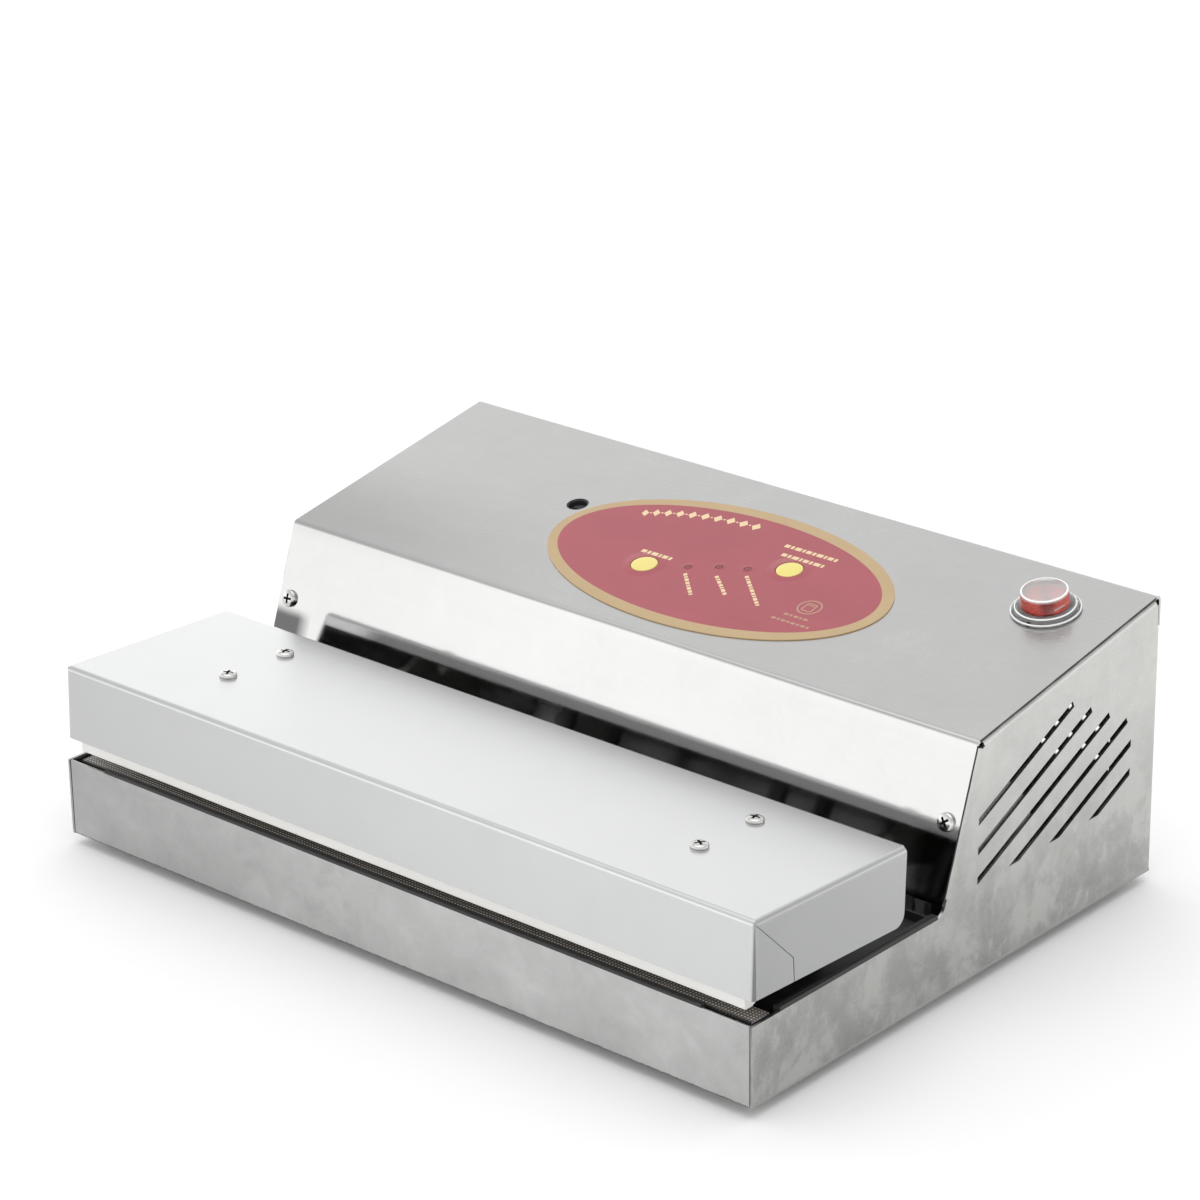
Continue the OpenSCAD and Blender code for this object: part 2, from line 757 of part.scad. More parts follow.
module pump_head() {
    x = [pump_at.x - 56, pump_at.x - 36];
    fin = 2;
    color("lightgray") in_case() {
        difference() {
            block(x, [pump_at.y - 22, pump_at.y + 22], [pump_axis_z - 24, pump_axis_z + 20]);
            along_x(15, x[0] + 3, x[1] + 1, pump_at.y, pump_axis_z);
        }
        for (i = [0:3])
            block([x[0] - fin, x[1]], [pump_at.y - 20, pump_at.y + 20],
                [pump_axis_z + 20 + i * 5, pump_axis_z + 22 + i * 5]);
        block([x[0] + 3, x[1] - 3], [pump_at.y - 14, pump_at.y + 14],
            [pump_axis_z + 19, pump_axis_z + 36]);
        translate([x[0] - 10, pump_at.y - 8, pump_axis_z + 29]) rotate([0, 90, 0])
            cylinder(h = 14, r = 3);
    }
}

module pump_bracket() {
    color("gray") in_case() {
        block([2, 112], [165, 245], [14, 16]);
        block([pump_at.x - 20, pump_at.x + 20], [180, 230], [16, pump_axis_z - 30]);
        block([pump_at.x - 54, pump_at.x - 38], [186, 224], [16, pump_axis_z - 24]);
    }
}

module pump_mounts() {
    color("black") in_case() for (x = [12, 102], y = [173, 237])
        translate([x, y, base_t]) cylinder(h = 14 - base_t, r = 6);
}

// Valve, sensor, transformer and mains inlet

module valve_body() {
    color("goldenrod") in_case() translate([valve_at.x, valve_at.y, base_t]) {
        block([-9, 9], [-9, 9], [0, 22]);
        translate([0, -18, 12]) rotate([-90, 0, 0]) cylinder(h = 10, r = 3);
        translate([0, 8, 12]) rotate([-90, 0, 0]) cylinder(h = 10, r = 3);
    }
}

module valve_coil() {
    color("black") in_case() translate([valve_at.x, valve_at.y, base_t + 22]) {
        block([-12, 12], [-14, 14], [0, 26]);
        translate([0, 0, 26]) cylinder(h = 4, r = 5);
    }
}

module vacuum_switch() {
    color("ivory") in_case() translate([-45, 240, base_t]) {
        cylinder(h = 16, r = 16);
        translate([0, 0, 16]) cylinder(h = 8, r = 9);
        translate([14, 0, 8]) rotate([0, 90, 0]) cylinder(h = 12, r = 2.5);
    }
}

module transformer_core() {
    half = [39, 20];
    z = [base_t + 2, base_t + 68];
    window = [14, 12];
    color("dimgray") in_case() translate([core_at.x, core_at.y, 0]) difference() {
        block([-half.x, half.x], [-half.y, half.y], z);
        for (side = [-1, 1])
            translate([side * 20, 0, (z[0] + z[1]) / 2])
                cube([window.x, 2 * half.y + 2, z[1] - z[0] - 2 * window.y], center = true);
    }
}

module transformer_coil() {
    color("peru") in_case() translate([core_at.x, core_at.y, base_t + 35]) difference() {
        cube([52, 60, 40], center = true);
        cube([26.4, 40.4, 41], center = true);
        for (side = [-1, 1])
            translate([side * 33.5, 0, 0]) cube([13.4, 40.4, 41], center = true);
    }
}

module transformer_bracket() {
    half = [45, 22];
    color("silver") in_case() translate([core_at.x, core_at.y, 0])
        block([-half.x, half.x], [-half.y, half.y], [base_t, base_t + 2]);
}

module mains_inlet() {
    outer_y = case_d - sheet - fit_gap;
    flange_t = 3;
    depth = 22;
    cavity = [24, 16.4];
    color("black") in_case() translate([inlet_at.x, outer_y, inlet_at.y]) difference() {
        union() {
            translate([0, flange_t, 0]) rotate([90, 0, 0]) linear_extrude(flange_t)
                rounded(50, 24, 6);
            block([-14, 14], [-depth, 0.5], [-10, 10]);
        }
        block([-cavity.x / 2, cavity.x / 2], [-depth + 4, flange_t + 1],
            [-cavity.y / 2, cavity.y / 2]);
        for (dx = [-20, 20])
            translate([dx, flange_t + 1, 0]) rotate([90, 0, 0]) cylinder(h = 8, r = 1.7);
        for (dx = [-7, 0, 7])
            translate([dx, -depth + 3, dx == 0 ? 2 : -2]) cube([2.1, 8, 4.1], center = true);
    }
}

// Three flat pins with their solder tags behind, and the two flange screws
module inlet_pins() {
    outer_y = case_d - sheet - fit_gap;
    color("gainsboro") in_case() translate([inlet_at.x, outer_y, inlet_at.y]) {
        for (dx = [-7, 0, 7])
            translate([dx, -17, dx == 0 ? 2 : -2]) cube([2, 22, 4], center = true);
        for (dx = [-20, 20])
            translate([dx, 3, 0]) rotate([-90, 0, 0]) {
                cylinder(h = 1.3, r = 2.8);
                translate([0, 0, -8]) cylinder(h = 8.2, r = 1.5);
            }
    }
}

module hoses() {
    hose_r = 4.5;
    sides = 10;
    color("darkgray") in_case() {
        tube([[nipple_x, 75, nipple_z], [nipple_x, 100, nipple_z], [nipple_x, 128, 24],
            [20, 146, 20], [0, 148, 14], [valve_at.x, 154, 13.5], [valve_at.x, 159.8, 13.5]],
            hose_r, sides, 5);
        tube([[valve_at.x, 196.2, 13.5], [valve_at.x, 206, 15], [-16, 216, 30], [-20, 214, 56],
            [-16, 200, 74], [-8, 197, 77], [-0.2, 197, 77]], hose_r, sides, 5);
    }
}

module wires() {
    wire_r = 1.1;
    sides = 6;
    color("firebrick") in_case() {
        tube([[-176, 15, 10], [-176, 26, 7], [-170, 60, 6], [-164, 110, 6], [-158, 146, 7],
            [-146, 170, 14], [-138, 180, 34]], wire_r, sides, 4);
        tube([[176, 15, 10], [176, 26, 7], [168, 60, 6], [158, 110, 6], [140, 140, 5],
            [80, 150, 4], [-60, 152, 4], [-92, 164, 8], [-104, 172, 26]], wire_r, sides, 4);
        for (i = [0, 1])
            tube([[-127 + 14 * i, 236.5, 36], [-127 + 14 * i, 236.5, 46], [-125 + 12 * i, 237.5, 62],
                [-60, 244 + 3 * i, 84], [40, 240 + 3 * i, 88], [120, 238 + 3 * i, 82],
                [149 + 10 * i, 238, 86], [150 + 10 * i, 239, 92.6]], wire_r, sides, 4);
        tube([[40, 229, 94.2], [36, 230, 88], [0, 232, 80], [-50, 234, 70], [-90, 240, 58],
            [-98, 236.6, 50]], wire_r, sides, 4);
    }
}

// Lid

module lid_block(inset) {
    r = bend_r - inset;
    x = half_w - inset;
    y = lid_front + inset;
    z = lid_top - inset;
    rear = lid_rear - bend_r;
    corner = 5.5;
    low = inset > 0 ? skirt_z - 1 : skirt_z;
    back = inset > 0 ? rear + 1 : rear;
    tail = inset > 0 ? [[back, low]] : arc([rear - corner, skirt_z + corner], corner, 0, -90);
    intersection() {
        across(-x - 1, x + 1)
            polygon(concat([[y, low]], arc([y + r, z - r], r, 180, 90), [[back, z]], tail));
        translate([0, lid_rear + 5, 0]) rotate([90, 0, 0]) linear_extrude(lid_d + 10)
            polygon(concat([[-x, low]], arc([-x + r, z - r], r, 180, 90),
                arc([x - r, z - r], r, 90, 0), [[x, low]]));
        translate([0, 0, skirt_z - 5]) linear_extrude(skirt_h + 10)
            polygon(concat([[-x, back]], arc([-x + r, y + r], r, 180, 270),
                arc([x - r, y + r], r, 270, 360), [[x, back]]));
    }
}

module lid_cover() {
    lip = 6;
    side_gap = bend_r + 0.6;
    c = [lid_rear - bend_r, lid_top - bend_r];
    overlap_y = lid_rear - bend_r - 6;
    color("whitesmoke") in_lid() difference() {
        union() {
            difference() {
                lid_block(0);
                lid_block(sheet);
            }
            across(-half_w + side_gap, half_w - side_gap)
                polygon(concat([[lid_rear, lid_top - lip]], arc(c, bend_r, 0, 90),
                    [[overlap_y, lid_top], [overlap_y, lid_top - sheet]],
                    arc(c, bend_r - sheet, 90, 0), [[lid_rear - sheet, lid_top - lip]]));
        }
        for (x = [-lid_screw_x, lid_screw_x], y = lid_screw_y)
            translate([x, y, lid_top - 3]) cylinder(h = 6, r = screw_r + 0.2);
    }
}

// Four screws with their nuts under the arm flanges
module lid_screws() {
    under = lid_top - sheet - 3;
    color("silver") in_lid() for (x = [-lid_screw_x, lid_screw_x], y = lid_screw_y) {
        translate([x, y, lid_top]) cross_screw(9);
        translate([x, y, under - 3.2]) hex_nut();
    }
}

module hinge_arm() {
    under = lid_top - sheet;
    color("silver") in_lid() difference() {
        union() {
            across(arm_x - arm_t / 2, arm_x + arm_t / 2)
                polygon(concat([[30, under], [84, under], [91, 60], [104, hinge_z + hub_r]],
                    arc([hinge_y, hinge_z], hub_r + 2, 90, -90),
                    [[104, hinge_z - hub_r], [84, 50], [40, 62], [30, 66]]));
            block([arm_x - 14, arm_x], [30, 84], [under - 3, under]);
        }
        along_x(shaft_r, arm_x - 4, arm_x + 4, hinge_y, hinge_z);
        for (y = lid_screw_y)
            translate([lid_screw_x, y, under - 5]) cylinder(h = 8, r = screw_r + running);
    }
}

module left_hinge_arm() {
    mirror([1, 0, 0]) hinge_arm();
}

module right_hinge_arm() {
    hinge_arm();
}

// Shaft with a shoulder collar beside each bush
module hinge_shaft() {
    half = bracket_x + 5;
    color("lightgray") in_case() {
        along_x(shaft_r, -half, half, hinge_y, hinge_z);
        both() along_x(shaft_r + 3, bracket_x - 12, bracket_x - 4, hinge_y, hinge_z);
    }
}

module silicone_bar() {
    bottom = 33.75;
    back = 13;
    top = 48;
    half = 184;
    curve_c = [9.4, 39.5];
    curve_r = 4.2;
    color("white") in_lid() across(-half, half)
        polygon(concat([[3.2, top], [3.2, bottom], [7.6, bottom]],
            arc(curve_c, curve_r, -62, 0), [[back, top]]));
}

module silicone_channel() {
    half = 184;
    gap = 0.05;
    wall = 1.1;
    color("lightgray") in_lid() difference() {
        block([-half, half], [lid_front + sheet, 13.6 + wall], [42, 52]);
        block([-half - 1, half + 1], [3.2 - gap, 13.6 + gap], [41, 48 + gap]);
    }
}

module pressure_plate() {
    z = [42.2, 43.7];
    color("dimgray") in_lid() {
        block([-174, 174], [24, 74], z);
        for (x = [-150, -60, 60, 150], y = [30, 66])
            translate([x, y, z[1] - 0.1]) cylinder(h = lid_top - sheet - z[1] + 0.1, r = 4);
    }
}

module lid_gasket() {
    color("black") in_lid() translate([0, 0, 38]) gasket_ring(4.2);
}

bottom_plate();
front_panel();
left_side_panel();
right_side_panel();
rear_panel();
top_cover();
case_screws();
feet();
chamber_tray();
trough_pan();
base_gasket();
vacuum_nipple();
seal_bar();
seal_bar_posts();
heating_band();
ptfe_tape();
band_terminals();
front_edge_trim();
side_edge_trims();
hinge_brackets();
hinge_bushes();
lid_springs();
control_label();
led_lenses();
control_board();
board_standoffs();
board_parts();
trimmer_bush();
switch_body();
switch_terminals();
switch_cap();
pump_stator();
pump_end_plates();
pump_head();
pump_bracket();
pump_mounts();
hoses();
valve_body();
valve_coil();
vacuum_switch();
transformer_core();
transformer_coil();
transformer_bracket();
mains_inlet();
inlet_pins();
wires();
lid_cover();
lid_screws();
left_hinge_arm();
right_hinge_arm();
hinge_shaft();
silicone_bar();
silicone_channel();
pressure_plate();
lid_gasket();
pump_button();
seal_button();
trimmer_spindle();
switch_rocker();
pump_rotor();
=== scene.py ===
"""Looks of the bar-type vacuum sealer: a folded stainless case with a sprung, hinged pressing lid."""

import math
import random

import bmesh
import bpy
from mathutils import Matrix, Vector


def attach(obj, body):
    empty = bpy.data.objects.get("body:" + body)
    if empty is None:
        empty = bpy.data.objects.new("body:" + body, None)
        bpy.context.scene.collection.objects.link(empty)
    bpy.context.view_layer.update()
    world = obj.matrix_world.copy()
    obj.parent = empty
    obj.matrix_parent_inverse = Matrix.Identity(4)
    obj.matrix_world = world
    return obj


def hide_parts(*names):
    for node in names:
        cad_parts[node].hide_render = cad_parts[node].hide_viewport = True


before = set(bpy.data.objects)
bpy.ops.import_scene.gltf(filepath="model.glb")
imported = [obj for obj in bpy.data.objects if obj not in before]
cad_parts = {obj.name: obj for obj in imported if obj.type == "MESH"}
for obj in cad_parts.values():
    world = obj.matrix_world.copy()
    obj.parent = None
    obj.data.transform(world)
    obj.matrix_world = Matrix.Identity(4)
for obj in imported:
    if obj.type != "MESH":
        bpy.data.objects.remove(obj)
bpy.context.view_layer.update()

# ---------------------------------------------------------------- places, in millimetres of the case

# Points of the side outline are (depth from the front, height) on the outside of the sheet.
CASE_MID = 135
FOOT_H = 5
SLOPE_FOOT = (118, 35)
RIDGE = (141, 103)
REAR = (267, 126)
HINGE = (136, 42)
SWITCH_AT = (155, 95, 0)
LID_REST = 2.35  # degrees
SLOPE_A = math.atan2(RIDGE[1] - SLOPE_FOOT[1], RIDGE[0] - SLOPE_FOOT[0])
TOP_A = math.atan2(REAR[1] - RIDGE[1], REAR[0] - RIDGE[0])


def turned(y, z, angle):
    """Places points given from (y, z) on a plane turned about the width axis."""
    return Matrix.Translation((0, y, z)) @ Matrix.Rotation(angle, 4, "X")


def turned_by(angle):
    return Matrix.Rotation(math.radians(angle), 4, "Z")


def at(x, y, z=0.0):
    return Matrix.Translation((x, y, z))


# These matrices take a place in millimetres to the row frame, which is in metres: on the case, in
# the planes of the slope and the top, and on the lid at its rest angle.
CASE = Matrix.Scale(0.001, 4) @ at(0, -CASE_MID, FOOT_H)
SLOPE = CASE @ turned(*SLOPE_FOOT, SLOPE_A)
TOP = CASE @ turned(*RIDGE, TOP_A)
LID = CASE @ turned(*HINGE, -math.radians(LID_REST)) @ at(0, -HINGE[0], -HINGE[1])
RIDGE_Y = (CASE @ Vector((0, *RIDGE))).y
SWITCH_FOOT = TOP @ Vector(SWITCH_AT)


# ---------------------------------------------------------------- material helpers

def rgba(value):
    return (*value, 1) if isinstance(value, tuple) and len(value) == 3 else value


class Finish:
    """A node material around one Principled shader, painted in the row frame."""

    def __init__(self, name, **sockets):
        self.material = bpy.data.materials.new(name)
        self.material.use_nodes = True
        self.tree = self.material.node_tree
        self.tree.nodes.clear()
        self.out = self.tree.nodes.new("ShaderNodeOutputMaterial")
        self.bsdf = self.tree.nodes.new("ShaderNodeBsdfPrincipled")
        self.link(self.bsdf.outputs["BSDF"], self.out.inputs["Surface"])
        self.place = self.tree.nodes.new("ShaderNodeTexCoord").outputs["Object"]
        for socket, value in sockets.items():
            self.bsdf.inputs[socket.replace("_", " ")].default_value = rgba(value)

    def link(self, a, b):
        self.tree.links.new(a, b)

    def put(self, socket, value):
        if isinstance(value, (int, float, tuple)):
            socket.default_value = rgba(value)
        else:
            self.link(value, socket)

    def stretched(self, scale, shift=(0, 0, 0)):
        """Row-frame coordinates, scaled and shifted."""
        node = self.tree.nodes.new("ShaderNodeMapping")
        node.inputs["Location"].default_value = shift
        node.inputs["Scale"].default_value = scale
        self.link(self.place, node.inputs["Vector"])
        return node.outputs["Vector"]

    def noise(self, scale, detail=4, rough=0.6, warp=0, shift=(0, 0, 0)):
        node = self.tree.nodes.new("ShaderNodeTexNoise")
        node.inputs["Scale"].default_value = 1
        node.inputs["Detail"].default_value = detail
        node.inputs["Roughness"].default_value = rough
        node.inputs["Distortion"].default_value = warp
        self.link(self.stretched(scale, shift), node.inputs["Vector"])
        return node.outputs["Fac"]

    def cells(self, scale):
        node = self.tree.nodes.new("ShaderNodeTexVoronoi")
        node.inputs["Scale"].default_value = 1
        self.link(self.stretched(scale), node.inputs["Vector"])
        return node.outputs["Distance"]

    def waves(self, scale, axis="X"):
        node = self.tree.nodes.new("ShaderNodeTexWave")
        node.bands_direction = axis
        node.inputs["Scale"].default_value = 1
        self.link(self.stretched(scale), node.inputs["Vector"])
        return node.outputs["Fac"]

    def along(self, axis):
        """One row-frame coordinate, in metres."""
        node = self.tree.nodes.new("ShaderNodeSeparateXYZ")
        self.link(self.place, node.inputs[0])
        return node.outputs["XYZ".index(axis)]

    def span(self, value, low, high, to_low=0.0, to_high=1.0, smooth=False):
        """Maps low..high of a value to another range, held at its ends."""
        node = self.tree.nodes.new("ShaderNodeMapRange")
        node.interpolation_type = "SMOOTHSTEP" if smooth else "LINEAR"
        for i, v in enumerate((value, low, high, to_low, to_high)):
            self.put(node.inputs[i], v)
        return node.outputs["Result"]

    def ramp(self, axis, low, high, to_low=0.0, to_high=1.0, smooth=False):
        """Maps low..high of a row-frame coordinate to another range, held at its ends."""
        return self.span(self.along(axis), low, high, to_low, to_high, smooth)

    def off_middle(self, low, high):
        """Rises from 0 to 1 between two distances from the middle of the case."""
        return self.span(self.math("ABSOLUTE", self.along("X")), low, high)

    def math(self, kind, a, b=0.0):
        node = self.tree.nodes.new("ShaderNodeMath")
        node.operation = kind
        self.put(node.inputs[0], a)
        self.put(node.inputs[1], b)
        return node.outputs[0]

    def times(self, a, b):
        return self.math("MULTIPLY", a, b)

    def plus(self, a, b):
        return self.math("ADD", a, b)

    def lerp(self, share, a, b):
        """From one number to another by a share."""
        return self.plus(a, self.times(share, self.plus(b, -a)))

    def scaled(self, colour, factor):
        node = self.tree.nodes.new("ShaderNodeVectorMath")
        node.operation = "SCALE"
        self.put(node.inputs[0], colour)
        self.put(node.inputs["Scale"], factor)
        return node.outputs[0]

    def blend(self, share, a, b):
        node = self.tree.nodes.new("ShaderNodeMix")
        node.data_type = "RGBA"
        self.put(node.inputs["Factor"], share)
        self.put(node.inputs[6], a)
        self.put(node.inputs[7], b)
        return node.outputs[2]

    def colour(self, value):
        self.put(self.bsdf.inputs["Base Color"], value)

    def rough(self, value):
        self.put(self.bsdf.inputs["Roughness"], value)

    def relief(self, height, depth, strength=1.0):
        """Bump from a height, with its depth in metres."""
        node = self.tree.nodes.new("ShaderNodeBump")
        node.inputs["Strength"].default_value = strength
        node.inputs["Distance"].default_value = depth
        self.link(height, node.inputs["Height"])
        self.link(node.outputs["Normal"], self.bsdf.inputs["Normal"])

    def grain_along(self, axis):
        node = self.tree.nodes.new("ShaderNodeCombineXYZ")
        node.inputs["XYZ".index(axis)].default_value = 1
        self.link(node.outputs[0], self.bsdf.inputs["Tangent"])


def tint(tone, factor):
    return tuple(min(1, c * factor) for c in tone)


def splash(f, base, gloss, tone, strength):
    """Old splashes on a steel sheet: pale specks, dull pools and runs, strongest near the foot."""
    fall = f.ramp("Z", 0.004, 0.085, 1, 0.12, smooth=True)
    pools = f.noise((42, 42, 34), detail=12, rough=0.68, warp=0.25, shift=(0, 2, 0))
    specks = f.noise((230, 230, 150), detail=8, rough=0.74, warp=0.2)
    runs = f.noise((110, 110, 20), detail=8, rough=0.64, warp=0.1)
    pale = f.times(f.span(f.plus(pools, f.times(specks, 0.3)), 0.64, 0.74, smooth=True), fall)
    streak = f.times(f.span(runs, 0.58, 0.72, smooth=True), fall)
    dull = f.times(f.span(pools, 0.5, 0.4, smooth=True), fall)
    base = f.blend(f.times(dull, 0.8 * strength), base, tint(tone, 0.78))
    base = f.blend(f.times(streak, 0.5 * strength), base, tint(tone, 1.2))
    base = f.blend(f.times(pale, strength), base, tint(tone, 1.3))
    return base, f.plus(gloss, f.times(pale, 0.14))


def brushed(name, tone, rough, grain, smear=0.05, shade=None, matt=None, stains=0.0, aniso=0.4, fine=1.0):
    """Brushed stainless sheet, with its grain along a row axis. shade gives the painted light and
    shade by place and matt the added roughness by place, smear is the strength of hand marks,
    stains that of old splashes, and fine that of the grain."""
    f = Finish(name, Metallic=1.0, Anisotropic=aniso, Anisotropic_Rotation=0.25)
    f.grain_along(grain)
    lines = f.noise([24 if grain == axis else 2800 for axis in "XYZ"], detail=3, rough=0.75)
    bands = f.noise([5 if grain == axis else 260 for axis in "XYZ"], detail=3, rough=0.6)
    cloud = f.noise((17, 17, 17), detail=6, rough=0.62, warp=0.5)
    smudge = f.noise((70, 70, 70), detail=9, rough=0.72, warp=0.5, shift=(3, 1, 7))
    hands = f.times(f.span(cloud, 0.45, 0.65, smooth=True), f.span(smudge, 0.42, 0.68, smooth=True))
    worn = f.times(f.span(smudge, 0.6, 0.35), f.span(cloud, 0.6, 0.35))
    base = f.blend(f.span(bands, 0.3, 0.7), tint(tone, 1 - 0.015 * fine), tint(tone, 1 + 0.015 * fine))
    base = f.blend(hands, base, tint(tone, 1 + 1.6 * smear))
    base = f.blend(worn, base, tint(tone, 1 - 2.5 * smear))
    gloss = f.span(lines, 0.2, 0.8, rough - 0.05 * fine, rough + 0.05 * fine)
    gloss = f.plus(gloss, f.times(hands, 1.6 * smear))
    if stains:
        base, gloss = splash(f, base, gloss, tone, stains)
    # Painted light and shade, by place
    if shade:
        base = f.scaled(base, shade(f))
    if matt:
        gloss = f.plus(gloss, matt(f))
    f.colour(base)
    f.rough(gloss)
    f.relief(lines, 0.00002, 0.3 * fine)
    return f.material


def cover_matt(f):
    """The top of the cover is more matt than its slope."""
    return f.ramp("Y", RIDGE_Y - 0.001, RIDGE_Y + 0.003, 0, 0.19)


def cover_shade(f):
    """Painted light and shade: the slope is a little darker than the top, and a painted dark reflection
    lies low down at its ends. The left end is dimmer near the ridge."""
    behind = (RIDGE_Y - 0.002, RIDGE_Y + 0.002)
    # Painted dark reflection low down at the ends of the slope
    low_ends = f.times(f.off_middle(0.168, 0.176), f.ramp("Z", 0.0675, 0.073, 1, 0, smooth=True))
    by_ridge = f.times(f.ramp("Y", 0.012, 0.08, 1, 0, smooth=True), f.ramp("Y", *behind, 0.25, 1))
    left = f.times(f.ramp("X", -0.2, 0.0, 1, 0, smooth=True), by_ridge)
    shade = f.times(f.lerp(left, 1, 0.76), f.lerp(low_ends, 1, 0.2))
    return f.times(shade, f.ramp("Y", *behind, 0.94, 1))


def lid_shade(f):
    """Painted shade: the side flanges and the left of the front flange are darker than the top, and
    the bends of the front corners most of all."""
    front = f.lerp(f.ramp("Y", -0.1312, -0.1327), 1, f.ramp("X", -0.18, 0.08, 0.84, 1.03))
    side = f.lerp(f.off_middle(0.1882, 0.1894), 1, f.ramp("Y", -0.13, -0.03, 0.66, 0.78))
    corner = f.times(f.off_middle(0.1888, 0.1892), f.ramp("Y", -0.1322, -0.1326))
    return f.times(f.lerp(corner, 1, 0.5), f.times(front, side))


def side_shade(f):
    """Painted shade: duller towards the foot and the front, and dark where the rear fold turns away."""
    fold = f.ramp("Y", 0.1337, 0.1343, 1, 0.45)
    foot = f.ramp("Z", 0.014, 0.105, 0.72, 1.03, smooth=True)
    return f.times(f.times(foot, fold), f.ramp("Y", -0.13, 0.13, 0.93, 1.05))


def front_shade(f):
    """Painted shade: dimmer at the left end, with a dark line along the bottom edge."""
    uneven = f.span(f.noise((260, 1, 1), detail=6, rough=0.8), 0.35, 0.7, -0.0002, 0.0003)
    # Painted shade: a thin dark line along the bottom edge
    painted_edge_shade = f.span(f.plus(f.along("Z"), uneven), 0.0056, 0.0059, 0.22, 1)
    return f.times(f.ramp("X", -0.19, -0.02, 0.79, 1.05), painted_edge_shade)


def bare_metal(name, tone, rough):
    """Bare metal with fine scratches and a little tarnish."""
    scratch = 0.05
    f = Finish(name, Metallic=1.0)
    cloud = f.noise((60, 60, 60), detail=5, rough=0.6)
    fine = f.noise((900, 900, 900), detail=3)
    f.colour(f.blend(f.span(cloud, 0.35, 0.7), tone, tint(tone, 0.8)))
    gloss = f.span(fine, 0.3, 0.7, rough - scratch, rough + scratch)
    f.rough(f.plus(gloss, f.span(cloud, 0.4, 0.8, 0, 0.08)))
    f.relief(fine, 0.00003, 0.4)
    return f.material


def moulded(name, tone, rough, depth=0.00004, speckle=0.06, **sockets):
    """Moulded plastic or rubber with a fine skin, dust and slightly varied gloss."""
    f = Finish(name, **sockets)
    skin = f.noise((1500, 1500, 1500), detail=3, rough=0.55)
    cloud = f.noise((45, 45, 45), detail=5, rough=0.6)
    pale = tuple(min(1, c + (0.5 - c) * speckle + 0.004) for c in tone)
    f.colour(f.blend(f.span(cloud, 0.35, 0.75), tone, pale))
    f.rough(f.plus(f.span(skin, 0.3, 0.7, rough - 0.05, rough + 0.06), f.span(cloud, 0.45, 0.8, 0, 0.07)))
    f.relief(skin, depth, 0.5)
    return f.material


# Height where the cap turns milky: partly haze, partly a painted highlight
HAZE_AND_HIGHLIGHT_ABOVE = (0.0084, 0.0088)


def clear(name, tone, rough, ior):
    """Clear moulded plastic with faint wipe marks, milky at the top of the cap, partly haze and partly a
    painted highlight.
    """
    f = Finish(name, IOR=ior)
    up = f.plus(f.times(f.plus(f.along("Y"), -SWITCH_FOOT.y), -math.sin(TOP_A)),
                f.times(f.plus(f.along("Z"), -SWITCH_FOOT.z), math.cos(TOP_A)))
    f.put(f.bsdf.inputs["Transmission Weight"], f.span(up, *HAZE_AND_HIGHLIGHT_ABOVE, 1, 0.72))
    cloud = f.noise((300, 300, 300), detail=4, rough=0.7, warp=1)
    f.colour(f.blend(f.span(cloud, 0.4, 0.7), tone, tint(tone, 0.97)))
    f.rough(f.span(cloud, 0.45, 0.75, rough, rough + 0.06))
    return f.material


def rocker_plastic(name, tone, shadow):
    """Red plastic with painted shade: darkest in a band over its middle that runs towards the front right."""
    f = Finish(name)
    across = f.plus(f.times(f.plus(f.along("X"), -SWITCH_FOOT.x), 0.75),
                    f.times(f.plus(f.along("Y"), -SWITCH_FOOT.y), 0.66))
    # Painted shade, in a band over the middle
    middle = f.span(f.math("ABSOLUTE", across), 0.0006, 0.0034, 1, 0, smooth=True)
    scuffs = f.noise((900, 260, 900), detail=5, rough=0.7)
    f.colour(f.blend(middle, f.blend(f.span(scuffs, 0.4, 0.65), tone, tint(tone, 1.12)), shadow))
    f.rough(f.span(scuffs, 0.3, 0.7, 0.2, 0.32))
    f.relief(scuffs, 0.00001, 0.5)
    return f.material


def foam(name, tone):
    """Open-celled foam."""
    f = Finish(name)
    pores = f.cells((1300, 1300, 1300))
    cloud = f.noise((90, 90, 90))
    f.colour(f.blend(f.span(cloud, 0.3, 0.7), tone, tint(tone, 1.7)))
    f.rough(f.span(pores, 0.1, 0.8, 0.95, 0.8))
    f.relief(pores, 0.0003, 0.8)
    return f.material


def laminated(name, tone):
    """Stacked iron sheets, seen on edge, with a little rust."""
    f = Finish(name, Metallic=0.9)
    sheets = f.waves((1, 900, 1), axis="Y")
    cloud = f.noise((80, 80, 80))
    f.colour(f.blend(f.span(cloud, 0.4, 0.7), tone, (0.16, 0.1, 0.06)))
    f.rough(f.span(cloud, 0.3, 0.7, 0.42, 0.6))
    f.relief(sheets, 0.0002, 0.6)
    return f.material


def glass_cloth(name):
    """Coated glass-cloth tape with a plain weave of 1.6 mm, with painted shade down its front."""
    f = Finish(name)
    across = f.waves((200, 0, 0), axis="X")
    along = f.waves((0, 390, 390), axis="DIAGONAL")
    weave = f.times(across, along)
    cloud = f.noise((60, 60, 60))
    tone = f.blend(f.span(cloud, 0.35, 0.7), (0.2, 0.18, 0.16), (0.15, 0.134, 0.12))
    cloth = f.blend(f.span(weave, 0.25, 0.7, 0, 1), tone, (0.95, 0.9, 0.84))
    # Painted shade: the front face of the tape is darkened
    f.colour(f.scaled(cloth, f.ramp("Y", -0.1302, -0.1298, 0.05, 1)))
    f.rough(f.span(weave, 0, 1, 0.5, 0.36))
    f.relief(weave, 0.00012, 0.8)
    return f.material


# The label, in the plane of the top: its red oval, the keys and the indicator windows
OVAL = {"centre": (9.6, 57.3), "half": (83.2, 42.1)}
KEYS = [(-20.3, 44.7), (39.3, 70.4)]
LEDS = [(-1.4, 51.6), (10.7, 58.0), (22.9, 62.3)]


